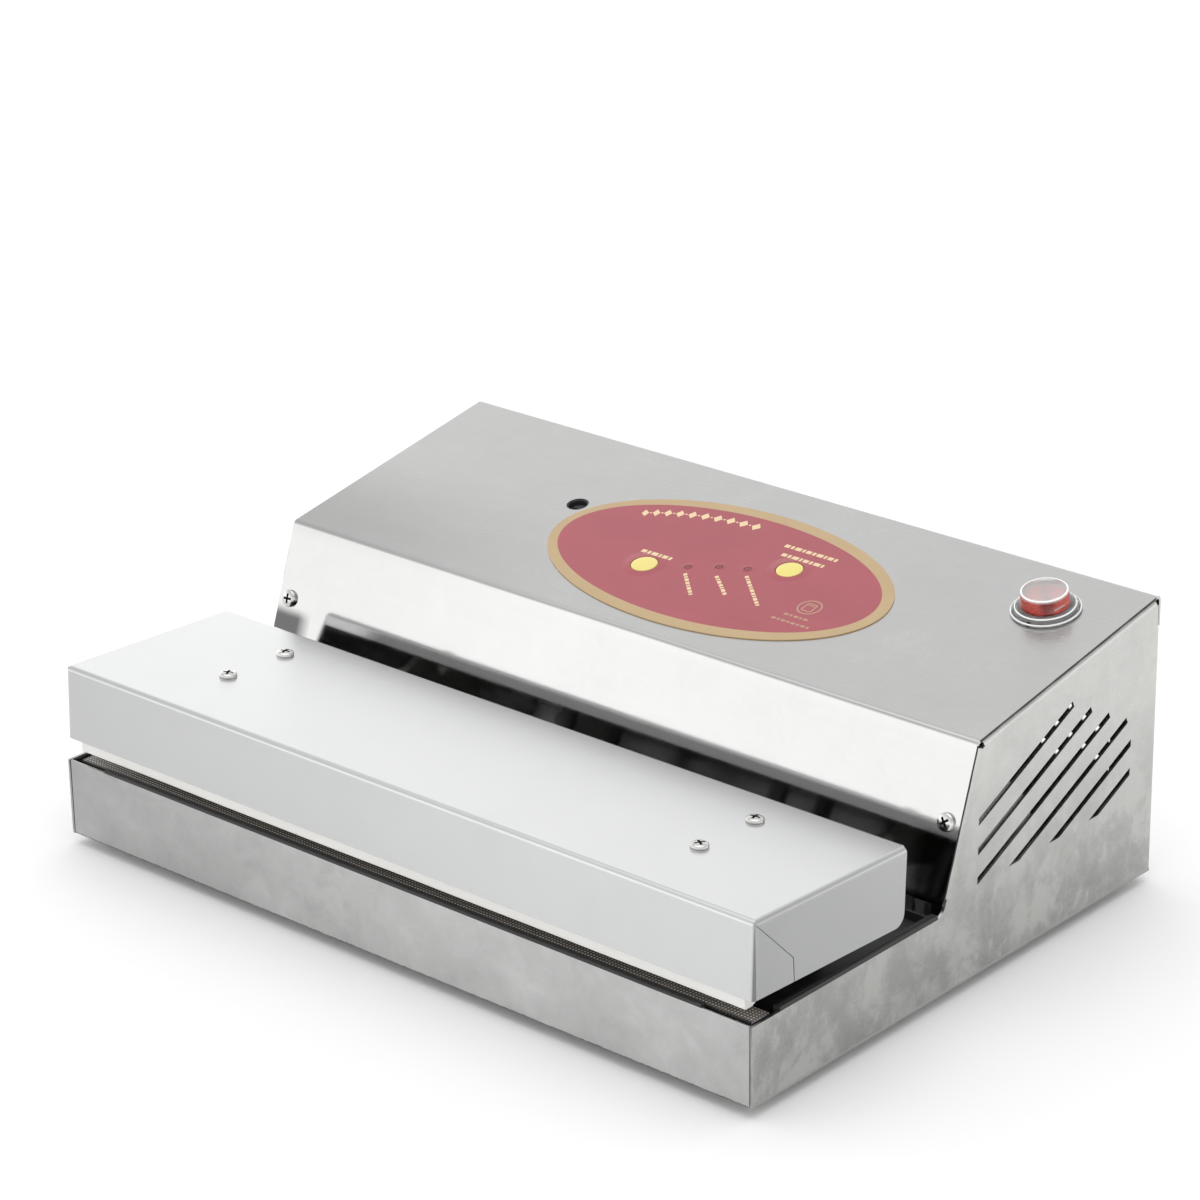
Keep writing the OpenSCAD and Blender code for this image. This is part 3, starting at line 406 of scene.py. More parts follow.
def printed_film(name, red, gold):
    """Satin label film: a gold rim printed round a red oval, and the film lifted round the keys."""
    f = Finish(name, Coat_Weight=0.15, Coat_Roughness=0.2)
    x = f.times(f.along("X"), 1000.0)
    y = f.plus(f.times(f.along("Y"), 1000.0), CASE_MID - RIDGE[0])
    s = f.times(y, 1 / math.cos(TOP_A))

    def radius(centre, half):
        u = f.times(f.plus(x, -centre[0]), 1 / half[0])
        v = f.times(f.plus(s, -centre[1]), 1 / half[1])
        return f.math("SQRT", f.plus(f.times(u, u), f.times(v, v)))

    oval = radius(OVAL["centre"], OVAL["half"])
    cloud = f.noise((30, 30, 30), detail=5, rough=0.6, warp=0.6)
    fine = f.noise((1400, 1400, 1400), detail=2)
    inside = f.blend(f.span(cloud, 0.35, 0.7), red, tint(red, 1.12))
    rim = f.blend(f.span(cloud, 0.35, 0.7), gold, tint(gold, 0.93))
    f.colour(f.blend(f.span(oval, 0.9985, 1.0015), inside, rim))
    f.rough(f.plus(f.span(fine, 0.3, 0.7, 0.36, 0.44), f.span(cloud, 0.45, 0.75, 0, 0.06)))
    lift = 0.0
    for spots, inner, outer, share in ((KEYS, 6.0, 11.0, 1), (LEDS, 1.6, 3.4, 0.25)):
        for spot in spots:
            lift = f.plus(lift, f.span(radius(spot, (1, 1)), inner, outer, share, 0, smooth=True))
    f.relief(f.plus(lift, f.times(fine, 0.02)), 0.0009, 0.6)
    return f.material


# The finish of each material slot
FINISHES = {
    "cover_steel": brushed("cover_steel", (0.55, 0.55, 0.545), 0.07, "X", smear=0.015, shade=cover_shade,
                           matt=cover_matt, aniso=0.3, fine=0.5),
    "lid_steel": brushed("lid_steel", (0.615, 0.62, 0.62), 0.24, "X", smear=0.012, shade=lid_shade, fine=0.3),
    "panel_steel": brushed("panel_steel", (0.54, 0.54, 0.523), 0.28, "Y", shade=side_shade, stains=0.8),
    "bottom_steel": brushed("bottom_steel", (0.4, 0.395, 0.385), 0.42, "X"),
    "screw_steel": bare_metal("screw_steel", (0.66, 0.655, 0.64), 0.2),
    "zinc_steel": bare_metal("zinc_steel", (0.66, 0.66, 0.62), 0.36),
    "spring_steel": bare_metal("spring_steel", (0.5, 0.5, 0.5), 0.28),
    "shaft_steel": bare_metal("shaft_steel", (0.72, 0.72, 0.71), 0.2),
    "pin_metal": bare_metal("pin_metal", (0.8, 0.79, 0.76), 0.22),
    "laminated_iron": laminated("laminated_iron", (0.3, 0.29, 0.28)),
    "bar_aluminium": bare_metal("bar_aluminium", (0.78, 0.78, 0.78), 0.34),
    "dark_aluminium": bare_metal("dark_aluminium", (0.2, 0.2, 0.21), 0.42),
    "band_alloy": bare_metal("band_alloy", (0.6, 0.58, 0.55), 0.25),
    "brass": bare_metal("brass", (0.8, 0.6, 0.28), 0.26),
    "black_paint": moulded("black_paint", (0.012, 0.012, 0.013), 0.5),
    "black_rubber": moulded("black_rubber", (0.012, 0.012, 0.012), 0.5, speckle=0.02),
    "foot_rubber": moulded("foot_rubber", (0.016, 0.016, 0.016), 0.7),
    "black_foam": foam("black_foam", (0.016, 0.016, 0.017)),
    "hose_rubber": moulded("hose_rubber", (0.25, 0.26, 0.27), 0.4, Subsurface_Weight=0.1),
    "white_silicone": moulded("white_silicone", (0.80, 0.79, 0.76), 0.42),
    "tape_fabric": glass_cloth("tape_fabric"),
    "natural_plastic": moulded("natural_plastic", (0.75, 0.73, 0.65), 0.42, Subsurface_Weight=0.1),
    "black_plastic": moulded("black_plastic", (0.012, 0.012, 0.013), 0.4, speckle=0.02),
    "spindle_plastic": moulded("spindle_plastic", (0.05, 0.05, 0.052), 0.45),
    "board_green": moulded("board_green", (0.02, 0.13, 0.05), 0.3, Coat_Weight=0.5),
    "coil_wrap": moulded("coil_wrap", (0.5, 0.3, 0.08), 0.35),
    "wire_insulation": moulded("wire_insulation", (0.35, 0.03, 0.03), 0.4),
    "label_film": printed_film("label_film", (0.34, 0.058, 0.076), (0.5, 0.35, 0.18)),
    "button_yellow": moulded("button_yellow", (0.80, 0.69, 0.2), 0.34),
    "lens_plastic": moulded("lens_plastic", (0.24, 0.038, 0.052), 0.5),
    "rocker_red": rocker_plastic("rocker_red", (0.8, 0.085, 0.06), (0.34, 0.006, 0.006)),
    "clear_cap": clear("clear_cap", (0.95, 0.96, 0.955), 0.03, 1.22),
}

# Finishes of printing, of the painted shade in screw recesses and of the painted highlights on the cap's rims
INK = {
    "cream": moulded("cream_ink", (0.80, 0.60, 0.36), 0.42, depth=0.00001),
    "dull": moulded("dull_ink", (0.46, 0.25, 0.17), 0.42, depth=0.00001),
    "white": moulded("white_ink", (0.85, 0.82, 0.8), 0.4, depth=0.00001),
    # Painted shade for the recesses of the screws' crosses
    "recess": bare_metal("painted_recess_shade", (0.04, 0.039, 0.038), 0.5),
    # Painted highlights: white beads on the clear cap's rims
    "edge": moulded("painted_rim_highlight", (0.96, 0.97, 0.965), 0.15, depth=0.00001, speckle=0, Coat_Weight=0.6),
}

# CAD nodes whose finish differs from the rest of their slot
SPECIAL = {
    # The front panel's steel is darker than the side panels': partly its dirt, partly painted shade for the
    # shadowed floor that it reflects
    "front_panel": brushed("front_steel", (0.485, 0.487, 0.482), 0.32, "X", smear=0.08, shade=front_shade,
                           fine=0.5),
    "switch_body": moulded("switch_bezel", (0.4, 0.4, 0.4), 0.35),
    "rear_panel": brushed("rear_steel", (0.58, 0.58, 0.57), 0.3, "X", smear=0.04, stains=0.3),
}


# ---------------------------------------------------------------- the CAD nodes

def tidy_group():
    """Geometry nodes that drop the imported normals and join the split corners."""
    group = bpy.data.node_groups.new("tidy", "GeometryNodeTree")
    for way in ("INPUT", "OUTPUT"):
        group.interface.new_socket("Geometry", in_out=way, socket_type="NodeSocketGeometry")
    start = group.nodes.new("NodeGroupInput")
    drop = group.nodes.new("GeometryNodeRemoveAttribute")
    drop.inputs["Name"].default_value = "custom_normal"
    join = group.nodes.new("GeometryNodeMergeByDistance")
    join.inputs["Distance"].default_value = 1e-6
    smooth = group.nodes.new("GeometryNodeSetShadeSmooth")
    end = group.nodes.new("NodeGroupOutput")
    chain = [start, drop, join, smooth, end]
    for a, b in zip(chain, chain[1:]):
        group.links.new(a.outputs["Geometry"] if "Geometry" in a.outputs else a.outputs["Mesh"],
                        b.inputs["Geometry"] if "Geometry" in b.inputs else b.inputs["Mesh"])
    return group


def soft_edges(thing, width):
    """Rounds the edges of a piece, with the flat faces left flat. The width is in millimetres."""
    bevel = thing.modifiers.new("edges", "BEVEL")
    bevel.width = width / 1000
    bevel.segments = 2
    bevel.limit_method = "ANGLE"
    bevel.angle_limit = math.radians(32)
    even = thing.modifiers.new("even", "WEIGHTED_NORMAL")
    even.keep_sharp = True


TIDY = tidy_group()
# Width of the rounded edges in millimetres where it isn't 0.3, or 0 for a subdivided node
BEVELS = {
    "left_side_panel": 0.12, "right_side_panel": 0.12, "rear_panel": 0.25, "top_cover": 0.25,
    "control_label": 0.1, "heating_band": 0.08, "lid_springs": 0, "hoses": 0, "wires": 0,
}
for name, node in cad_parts.items():
    slot = node.data.materials[0].name.split(".")[0]
    node.data.materials.clear()
    node.data.materials.append(SPECIAL.get(name, FINISHES[slot]))
    tidy = node.modifiers.new("tidy", "NODES")
    tidy.node_group = TIDY
    if BEVELS.get(name) == 0:
        node.modifiers.new("round", "SUBSURF").render_levels = 1
        continue
    flat = node.modifiers.new("flat", "DECIMATE")
    flat.decimate_type = "DISSOLVE"
    flat.angle_limit = math.radians(0.5)
    soft_edges(node, BEVELS.get(name, 0.3))


# ---------------------------------------------------------------- mesh helpers, in millimetres

def piece(name, bm, place, body, slot, *nodes, finish=None, inside=None, edge=0.0, sharp=35):
    """Makes a piece of a mesh in millimetres, placed by a matrix. It rides on a body, takes its
    finish from a slot and stands for the CAD nodes that follow. inside is the finish of its
    recesses."""
    bm.transform(place)
    bmesh.ops.recalc_face_normals(bm, faces=bm.faces)
    mesh = bpy.data.meshes.new(name)
    bm.to_mesh(mesh)
    bm.free()
    mesh.materials.append(finish or FINISHES[slot])
    if inside:
        mesh.materials.append(inside)
    mesh.shade_smooth()
    thing = bpy.data.objects.new(name, mesh)
    bpy.context.scene.collection.objects.link(thing)
    if edge:
        soft_edges(thing, edge)
    else:
        mesh.set_sharp_from_angle(angle=math.radians(sharp))
    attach(thing, body)
    if nodes:
        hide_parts(*nodes)


def joined(parts):
    """Several meshes as one."""
    out = bmesh.new()
    for part in parts:
        work = bpy.data.meshes.new("work")
        part.to_mesh(work)
        part.free()
        out.from_mesh(work)
        bpy.data.meshes.remove(work)
    return out


def lathe(profile, steps=64):
    """Turns (radius, height) points about the upright axis."""
    bm = bmesh.new()
    turn = [2 * math.pi * i / steps for i in range(steps)]
    rings = [[bm.verts.new((0, 0, z))] if r < 1e-6 else
             [bm.verts.new((r * math.cos(t), r * math.sin(t), z)) for t in turn] for r, z in profile]
    for a, b in zip(rings, rings[1:]):
        for i in range(steps):
            quad = [a[i % len(a)], a[(i + 1) % len(a)], b[(i + 1) % len(b)], b[i % len(b)]]
            corners = list(dict.fromkeys(quad))
            if len(corners) > 2:
                bm.faces.new(corners)
    return bm


def fillet(points, radius, steps=4, closed=True):
    """Rounds the corners of an outline; a corner too tight for the radius gets a smaller one."""
    out = []
    count = len(points)
    for i, here in enumerate(points):
        if not closed and i in (0, count - 1):
            out.append(tuple(here))
            continue
        here = Vector(here)
        to_a, to_b = Vector(points[i - 1]) - here, Vector(points[(i + 1) % count]) - here
        half = to_a.angle(to_b) / 2
        reach = min(radius / math.tan(half), 0.49 * to_a.length, 0.49 * to_b.length)
        r = reach * math.tan(half)
        middle = here + (to_a.normalized() + to_b.normalized()).normalized() * r / math.sin(half)
        a, b = (here + way.normalized() * reach - middle for way in (to_a, to_b))
        for k in range(steps + 1):
            out.append(tuple(middle + a.normalized().slerp(b.normalized(), k / steps) * r))
    return out


def prism(outline, low, high, bm=None):
    """Extrudes an (x, y) outline from one height to another."""
    bm = bm or bmesh.new()
    bottom = [bm.verts.new((x, y, low)) for x, y in outline]
    top = [bm.verts.new((x, y, high)) for x, y in outline]
    bm.faces.new(bottom[::-1])
    bm.faces.new(top)
    for i in range(len(outline)):
        k = (i + 1) % len(outline)
        bm.faces.new((bottom[i], bottom[k], top[k], top[i]))
    return bm


def bar(outline, x0, x1, steps=1, drift=None):
    """Extrudes a (y, z) outline along the width, with its own drift at each step if given."""
    bm = bmesh.new()
    rows = []
    for i in range(steps + 1):
        x = x0 + (x1 - x0) * i / steps
        rows.append([bm.verts.new((x, *(drift(x, y, z) if drift else (y, z)))) for y, z in outline])
    bm.faces.new(rows[0])
    bm.faces.new(rows[-1][::-1])
    for a, b in zip(rows, rows[1:]):
        for i in range(len(outline)):
            k = (i + 1) % len(outline)
            bm.faces.new((a[i], b[i], b[k], a[k]))
    return bm


def copies(bm, places):
    """Repeats a mesh at each of the places."""
    source = bpy.data.meshes.new("source")
    bm.to_mesh(source)
    bm.clear()
    for place in places:
        have = len(bm.verts)
        bm.from_mesh(source)
        bm.verts.ensure_lookup_table()
        bmesh.ops.transform(bm, matrix=place, verts=bm.verts[have:])
    bpy.data.meshes.remove(source)
    return bm


def carve(bm, cutter):
    """Cuts one mesh out of another. The cutter's faces keep their material index, which needs a
    mesh with two materials: piece() sets the real ones."""
    things = []
    for part in (bm, cutter):
        mesh = bpy.data.meshes.new("work")
        for name in ("cover_steel", "black_paint"):
            mesh.materials.append(FINISHES[name])
        bmesh.ops.recalc_face_normals(part, faces=part.faces)
        part.to_mesh(mesh)
        part.free()
        things.append(bpy.data.objects.new("work", mesh))
        bpy.context.scene.collection.objects.link(things[-1])
    cut = things[0].modifiers.new("cut", "BOOLEAN")
    cut.object = things[1]
    cut.solver = "EXACT"
    done = things[0].evaluated_get(bpy.context.evaluated_depsgraph_get()).to_mesh()
    out = bmesh.new()
    out.from_mesh(done)
    for thing in things:
        mesh = thing.data
        bpy.data.objects.remove(thing)
        bpy.data.meshes.remove(mesh)
    return out


def from_node(name):
    """A joined copy of a CAD node's mesh, in the row frame."""
    bm = bmesh.new()
    bm.from_mesh(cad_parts[name].data)
    bmesh.ops.remove_doubles(bm, verts=bm.verts, dist=1e-6)
    bmesh.ops.dissolve_limit(bm, angle_limit=math.radians(0.5), verts=bm.verts, edges=bm.edges)
    for layer in list(bm.loops.layers.float_vector.values()):
        bm.loops.layers.float_vector.remove(layer)
    return bm


# ---------------------------------------------------------------- the label

# Low and high side of the printing, above the sheet of the top
PRINT = (0.46, 0.53)


def stroke(bm, points, width):
    """Adds a printed stroke of even width along points on the label."""
    left, right = [], []
    for i, p in enumerate(points):
        a, b = Vector(points[max(i - 1, 0)]), Vector(points[min(i + 1, len(points) - 1)])
        side = (b - a).normalized().orthogonal() * width / 2
        left.append(Vector(p) + side)
        right.append(Vector(p) - side)
    prism([tuple(v) for v in left + right[::-1]], *PRINT, bm)


def ring_stroke(bm, x, y, radius, width, steps=20):
    """Adds a printed ring, or a dot when the width is the radius."""
    low, high = PRINT
    rows = []
    for r, z in ((radius, low), (radius, high), (radius - width, high), (radius - width, low)):
        rows.append([bm.verts.new((x + max(r, 0.01) * math.cos(t), y + max(r, 0.01) * math.sin(t), z))
                     for t in (2 * math.pi * i / steps for i in range(steps))])
    for a, b in zip(rows, rows[1:] + rows[:1]):
        for i in range(steps):
            bm.faces.new((a[i], a[(i + 1) % steps], b[(i + 1) % steps], b[i]))


def title_band():
    """A band of lozenges and dots on an arc along the top left of the oval."""
    bm = bmesh.new()
    centre, half = OVAL["centre"], (74.5, 35.2)

    def spot(t, out=0.0):
        p = Vector((centre[0] + half[0] * math.cos(t), centre[1] + half[1] * math.sin(t)))
        normal = Vector((math.cos(t) / half[0], math.sin(t) / half[1])).normalized()
        return tuple(p + normal * out)

    start, end, count, reach = math.radians(143.5), math.radians(91.5), 10, 2.9
    for i in range(count):
        a, b, dot = (start + (end - start) * (i + k) / count for k in (0.06, 0.74, 0.9))
        middle = (a + b) / 2
        prism([spot(a), spot(middle, -reach), spot(b), spot(middle, reach)], *PRINT, bm)
        if i < count - 1:
            ring_stroke(bm, *spot(dot), 0.55, 0.54, steps=12)
    return bm


def dashes(bm, start, end, tall, widths, gap=0.8):
    """A row of short solid dashes between two points."""
    a, b = Vector(start), Vector(end)
    way = (b - a).normalized()
    side = Vector((-way.y, way.x)) * tall / 2
    reach, i = 0.0, 0
    while reach + widths[i % len(widths)] <= (b - a).length + 0.01:
        width = widths[i % len(widths)]
        p, q = a + way * reach, a + way * (reach + width)
        prism([tuple(v) for v in (p - side, q - side, q + side, p + side)], *PRINT, bm)
        reach += width + gap
        i += 1


def legends():
    """Rows of dashes over the keys, and slanted ones under the indicator windows."""
    bm = bmesh.new()
    over_keys = [((-28.6, 53.2), (-9.4, 53.2)), ((25.1, 85.6), (55.2, 85.6)), ((28.5, 79.0), (53.7, 79.0))]
    slanted = [((1.1, 46.5), (15.8, 32.7)), ((14.7, 51.2), (28.1, 40.5)), ((26.3, 57.3), (46.2, 40.0))]
    for start, end in over_keys:
        dashes(bm, start, end, 2.3, (2.6, 1.5, 3.2, 1.2))
    for start, end in slanted:
        dashes(bm, start, end, 1.7, (1.9, 1.1, 2.4), 0.7)
    return bm


def plain_mark():
    """A plain badge: a bag outline in a ring, with two rows of dashes under it."""
    bm = bmesh.new()
    x, y = 66.7, 49.4
    ring_stroke(bm, x, y, 5.6, 0.8, steps=32)
    bag = fillet([(x - 2.4, y - 3.0), (x + 2.4, y - 3.0), (x + 2.4, y + 2.6), (x - 2.4, y + 2.6)], 0.8)
    stroke(bm, bag + bag[:1], 0.7)
    stroke(bm, [(x - 2.4, y + 1.3), (x + 2.4, y + 1.3)], 0.6)
    dashes(bm, (60.0, 40.6), (73.4, 40.6), 1.5, (2.2, 1.3), 0.8)
    dashes(bm, (57.0, 35.8), (78.6, 35.8), 1.5, (2.2, 1.3), 0.8)
    return bm


piece("label_title", title_band(), TOP, "case", "label_film", finish=INK["cream"])
piece("label_legends", legends(), TOP, "case", "label_film", finish=INK["cream"])
piece("label_mark", plain_mark(), TOP, "case", "label_film", finish=INK["dull"])

# Half outlines as (radius, height) above the sheet of the top: a domed key on its stem, and a lens
KEY = [(0, 0.86), (1.5, 0.85), (3.2, 0.79), (4.6, 0.69), (5.4, 0.58), (5.8, 0.44), (5.9, 0.3), (5.9, -1.8),
       (7.5, -1.8), (7.5, -3), (2, -3), (2, -7.1), (0, -7.1)]
for body, node, (x, s) in zip(("pump_key", "seal_key"), ("pump_button", "seal_button"), KEYS):
    piece(node + "_dome", lathe(KEY, 72), TOP @ at(x, s), body, "button_yellow", node)

LENS = [(0, 0.52), (0.9, 0.51), (1.4, 0.47), (1.5, 0.4), (1.5, -7), (2.2, -7), (2.2, -12.4), (0, -12.4)]
piece("led_windows", copies(lathe(LENS, 32), [at(x, s) for x, s in LEDS]), TOP, "case", "lens_plastic",
      "led_lenses")


# ---------------------------------------------------------------- screws

def screw(length):
    """A raised cross-head screw: head on z = 0, rolled thread below."""
    head_r, head_h = 3.9, 2.1
    thread = []
    z = -0.5
    while z > -length + 0.6:
        thread += [(1.97, z), (1.97, z - 0.12), (1.7, z - 0.35), (1.7, z - 0.4)]
        z -= 0.7
    dome = [(head_r * math.sin(a), head_h * (0.16 + 0.84 * max(0, math.cos(a)) ** 0.55))
            for a in (math.radians(9 * i) for i in range(11))]
    under = [(head_r - 0.06, 0.08), (head_r - 0.2, 0), (1.9, 0)]
    head = lathe([*dome, *under, *thread, (1.6, -length), (0, -length)], 48)
    wing, half, depth = 2.6, 0.6, 1.3
    cross = [(half, half), (wing, half), (wing, -half), (half, -half), (half, -wing), (-half, -wing),
             (-half, -half), (-wing, -half), (-wing, half), (-half, half), (-half, wing), (half, wing)]
    cutter = bmesh.new()
    rows = [[cutter.verts.new((x * k, y * k, z)) for x, y in cross]
            for k, z in ((1.12, head_h + 0.5), (0.5, head_h - depth))]
    cutter.faces.new(rows[0])
    cutter.faces.new(rows[1][::-1])
    for i in range(len(cross)):
        k = (i + 1) % len(cross)
        cutter.faces.new((rows[0][i], rows[1][i], rows[1][k], rows[0][k]))
    # The cross recess takes the second finish, a painted shade
    for face in cutter.faces:
        face.material_index = 1
    return carve(head, cutter)


def nut():
    """A hexagon nut, 3.2 mm thick, round where it is chamfered."""
    bm = bmesh.new()
    steps = 24
    rows = []
    for r, z, six_sided in ((2.05, 0.3, False), (2.5, 0, False), (3.5, 0, False), (4.0, 0.5, True),
                            (4.0, 2.7, True), (3.5, 3.2, False), (2.5, 3.2, False), (2.05, 2.9, False)):
        ring = []
        for i in range(steps):
            t = 2 * math.pi * i / steps
            flat = math.cos(math.pi / 6) / math.cos((t % (math.pi / 3)) - math.pi / 6) if six_sided else 1
            ring.append(bm.verts.new((r * flat * math.cos(t), r * flat * math.sin(t), z)))
        rows.append(ring)
    for a, b in zip(rows, rows[1:] + rows[:1]):
        for i in range(steps):
            bm.faces.new((a[i], a[(i + 1) % steps], b[(i + 1) % steps], b[i]))
    return bm


# Heights in the lid: its top face, the sheet with the arms' flanges under it, and a nut
LID_TOP = 72.7
LID_PACK = 4.2
NUT_H = 3.2
SLOPE_LEN = math.dist(SLOPE_FOOT, RIDGE)
FEET = [(x, y) for x in (-165, 165) for y in (25, 242)]
draw = random.Random(7)


def at_random_turns(spots):
    """The spots, each turned by its own angle as if tightened by hand."""
    return [spot @ turned_by(draw.uniform(0, 90)) for spot in spots]


def case_screw_spots():
    """Screws on the slope, along the top and the sides of the back, and up through the feet."""
    rear_facing = Matrix.Rotation(math.radians(-90), 4, "X")
    spots = [CASE.inverted() @ SLOPE @ at(x, 0.52 * SLOPE_LEN) for x in (-183, 183)]
    spots += [at(x, REAR[0], REAR[1] - 8) @ rear_facing for x in (-120, 0, 120)]
    spots += [at(x, REAR[0], z) @ rear_facing for x in (-182, 182) for z in (20, 92)]
    return spots + [at(x, y, 2.6 - FOOT_H) @ Matrix.Rotation(math.pi, 4, "X") for x, y in FEET]


lid_spots = [at(x, y, LID_TOP) for x in (-130.5, 130.5) for y in (39.6, 73.6)]
piece("lid_screw_set", copies(screw(9), at_random_turns(lid_spots)), LID, "lid", "screw_steel", "lid_screws",
      inside=INK["recess"], sharp=28)
nut_spots = [at(0, 0, -LID_PACK - NUT_H) @ spot for spot in lid_spots]
piece("lid_nuts", copies(nut(), at_random_turns(nut_spots)), LID, "lid", "screw_steel", edge=0.1)
piece("case_screw_set", copies(screw(6.5), at_random_turns(case_screw_spots())), CASE, "case", "screw_steel",
      "case_screws", inside=INK["recess"], sharp=28)


# ---------------------------------------------------------------- the power switch

SWITCH = TOP @ Matrix.Translation(SWITCH_AT)
ROCKER_TILT = 10  # degrees
# Half outline of the clear cap: up its outside from the flange to the middle of the top, and back
# down its inside
CAP = [(11.6, 0), (14.6, 0), (14.9, 0.25), (15.0, 0.7), (14.85, 1.15), (14.5, 1.4), (13.4, 1.45), (13.1, 1.7),
       (13.0, 2.6), (12.85, 3.0), (12.5, 3.2), (11.1, 3.25), (10.5, 3.5), (10.3, 4.1), (10.1, 8.6),
       (9.95, 9.3), (9.6, 9.7), (9.1, 9.85), (8.7, 9.7), (8.3, 9.6), (0, 9.6), (0, 8.9), (8.3, 8.9),
       (8.9, 8.7), (9.3, 8.1), (9.4, 7.4), (9.55, 3.2), (9.9, 2.5), (11.1, 2.3), (11.5, 2.0), (11.6, 1.4)]
piece("clear_switch_cap", lathe(CAP + CAP[:1], 96), SWITCH, "case", "clear_cap", "switch_cap", sharp=50)

# Radius, height and thickness of the white beads on the rims of the cap, painted highlights
RIM_HIGHLIGHTS = [(9.5, 9.45, 0.45), (14.5, 0.95, 0.4), (12.7, 2.85, 0.36)]


def rim(radius, height, thick):
    """A round bead."""
    turn = [2 * math.pi * i / 10 for i in range(11)]
    return lathe([(radius + thick * math.cos(a), height + thick * math.sin(a)) for a in turn], 96)


# White beads on the rims of the clear cap, painted highlights
rims = joined(rim(*sizes) for sizes in RIM_HIGHLIGHTS)
bmesh.ops.remove_doubles(rims, verts=rims.verts, dist=1e-5)
piece("switch_cap_rim_highlights", rims, SWITCH, "case", "clear_cap", finish=INK["edge"])


def soft_block(x, y, z, r):
    """A block with its upright edges rounded, from (low, high) pairs."""
    corners = [(x[0], y[0]), (x[1], y[0]), (x[1], y[1]), (x[0], y[1])]
    return prism(fillet(corners, r, 3), *z)


# The rocker's frame: its pivot is a millimetre below the sheet
ROCKER = SWITCH @ at(0, 0, -1) @ Matrix.Rotation(math.radians(ROCKER_TILT), 4, "Y")
piece("rocker_mark", soft_block((4.3, 5.1), (-2.4, 2.4), (4.2, 4.86), 0.3), ROCKER, "rocker", "rocker_red",
      finish=INK["white"])


# ---------------------------------------------------------------- painted seam shade, and feet

# Sides of the black bead of painted seam shade, out from the middle of the case
SEAM_IN = 189.3
SEAM_OUT = 189.66


def seam_shade_bead(start, end, phase):
    """A thin black bead in the seam between the cover and the side panels, a little uneven: painted shade for
    the dark gap of the seam.
    """
    bm = bmesh.new()
    steps = int(end / 3)
    for side in (-1, 1):
        inner, outer = [], []
        for i in range(steps + 1):
            u = start + (end - start) * i / steps
            wobble = 0.05 * math.sin(u / 4.3 + phase) + 0.04 * math.sin(u / 1.7 + side)
            inner.append((side * SEAM_IN, u))
            outer.append((side * (SEAM_OUT + wobble), u))
        prism(inner + outer[::-1], -0.95, -0.18, bm)
    return bm


piece("top_seam_shade", seam_shade_bead(1.6, 124.5, 0), TOP, "case", "black_rubber", edge=0.08)
piece("slope_seam_shade", seam_shade_bead(6, 70.2, 2), SLOPE, "case", "black_rubber", edge=0.08)

# Half outline of a turned rubber foot, with its screw recess, down from the bottom plate
FOOT = [(2.3, 0), (8.95, 0), (9.0, -0.15), (8.85, -0.9), (8.4, -1.15), (8.4, -1.6), (8.7, -1.85), (8.2, -4.5),
        (7.8, -5), (5.0, -5), (4.5, -4.6), (4.5, -2.4), (2.3, -2.4)]
piece("turned_feet", copies(lathe(FOOT + FOOT[:1], 64), [at(x, y) for x, y in FEET]), CASE, "case",
      "foot_rubber", "feet", sharp=30)


# ---------------------------------------------------------------- the lid

def lid_shell():
    """The folded cover with the seams where its front corners were closed."""
    cutter = bmesh.new()
    seam_half = 0.2
    path = fillet([(1.6, 77.6), (24.8, 54.6), (26.2, 30)], 1.6, closed=False)
    left, right = [], []
    for i, p in enumerate(path):
        way = Vector(path[min(i + 1, len(path) - 1)]) - Vector(path[max(i - 1, 0)])
        side = Vector((-way.y, way.x)).normalized() * seam_half
        left.append(tuple(Vector(p) + side))
        right.append(tuple(Vector(p) - side))
    outline = left + right[::-1]
    for x0, x1 in ((-191, -189.35), (189.35, 191)):
        rows = [[cutter.verts.new((x, y, z)) for y, z in outline] for x in (x0, x1)]
        cutter.faces.new(rows[0])
        cutter.faces.new(rows[1][::-1])
        for i in range(len(outline)):
            k = (i + 1) % len(outline)
            cutter.faces.new((rows[0][i], rows[1][i], rows[1][k], rows[0][k]))
    cutter.transform(CASE)
    return carve(from_node("lid_cover"), cutter)


def seal_strip():
    """White silicone strip, cut a little unevenly along its length."""
    outline = fillet([(3.35, 48), (3.35, 33.75), (7.6, 33.75), (11.2, 35.7), (13, 38.4), (13.3, 48)], 0.5, 3)

    def drift(x, y, z):
        wave = 0.12 * math.sin(x / 31) + 0.07 * math.sin(x / 11.3 + 1)
        return y + (wave if z < 45 else 0), z + (0.06 + 0.05 * math.sin(x / 23 + 2) if z < 36 else 0)

    return bar(outline, -184, 184, 92, drift)


piece("lid_shell", lid_shell(), Matrix.Identity(4), "lid", "lid_steel", "lid_cover", edge=0.12)
piece("seal_strip", seal_strip(), LID, "lid", "white_silicone", "silicone_bar", sharp=40)


# ---------------------------------------------------------------- the front edge

def tape_fold():
    """Glass-cloth tape folded over the sealing bar, with its edges slightly uneven."""
    outer = fillet([(4.2, 22), (4.2, 34.2), (15.2, 34.2), (15.2, 22)], 0.7, 3, closed=False)
    inner = fillet([(4.5, 22), (4.5, 33.9), (14.9, 33.9), (14.9, 22)], 0.5, 3, closed=False)
    outline = outer + inner[::-1]

    def drift(x, y, z):
        low = 0.35 * math.sin(x / 17) + 0.2 * math.sin(x / 5.1) if z < 23 else 0
        return y, z + max(low, 0)

    return bar(outline, -186, 186, 124, drift)


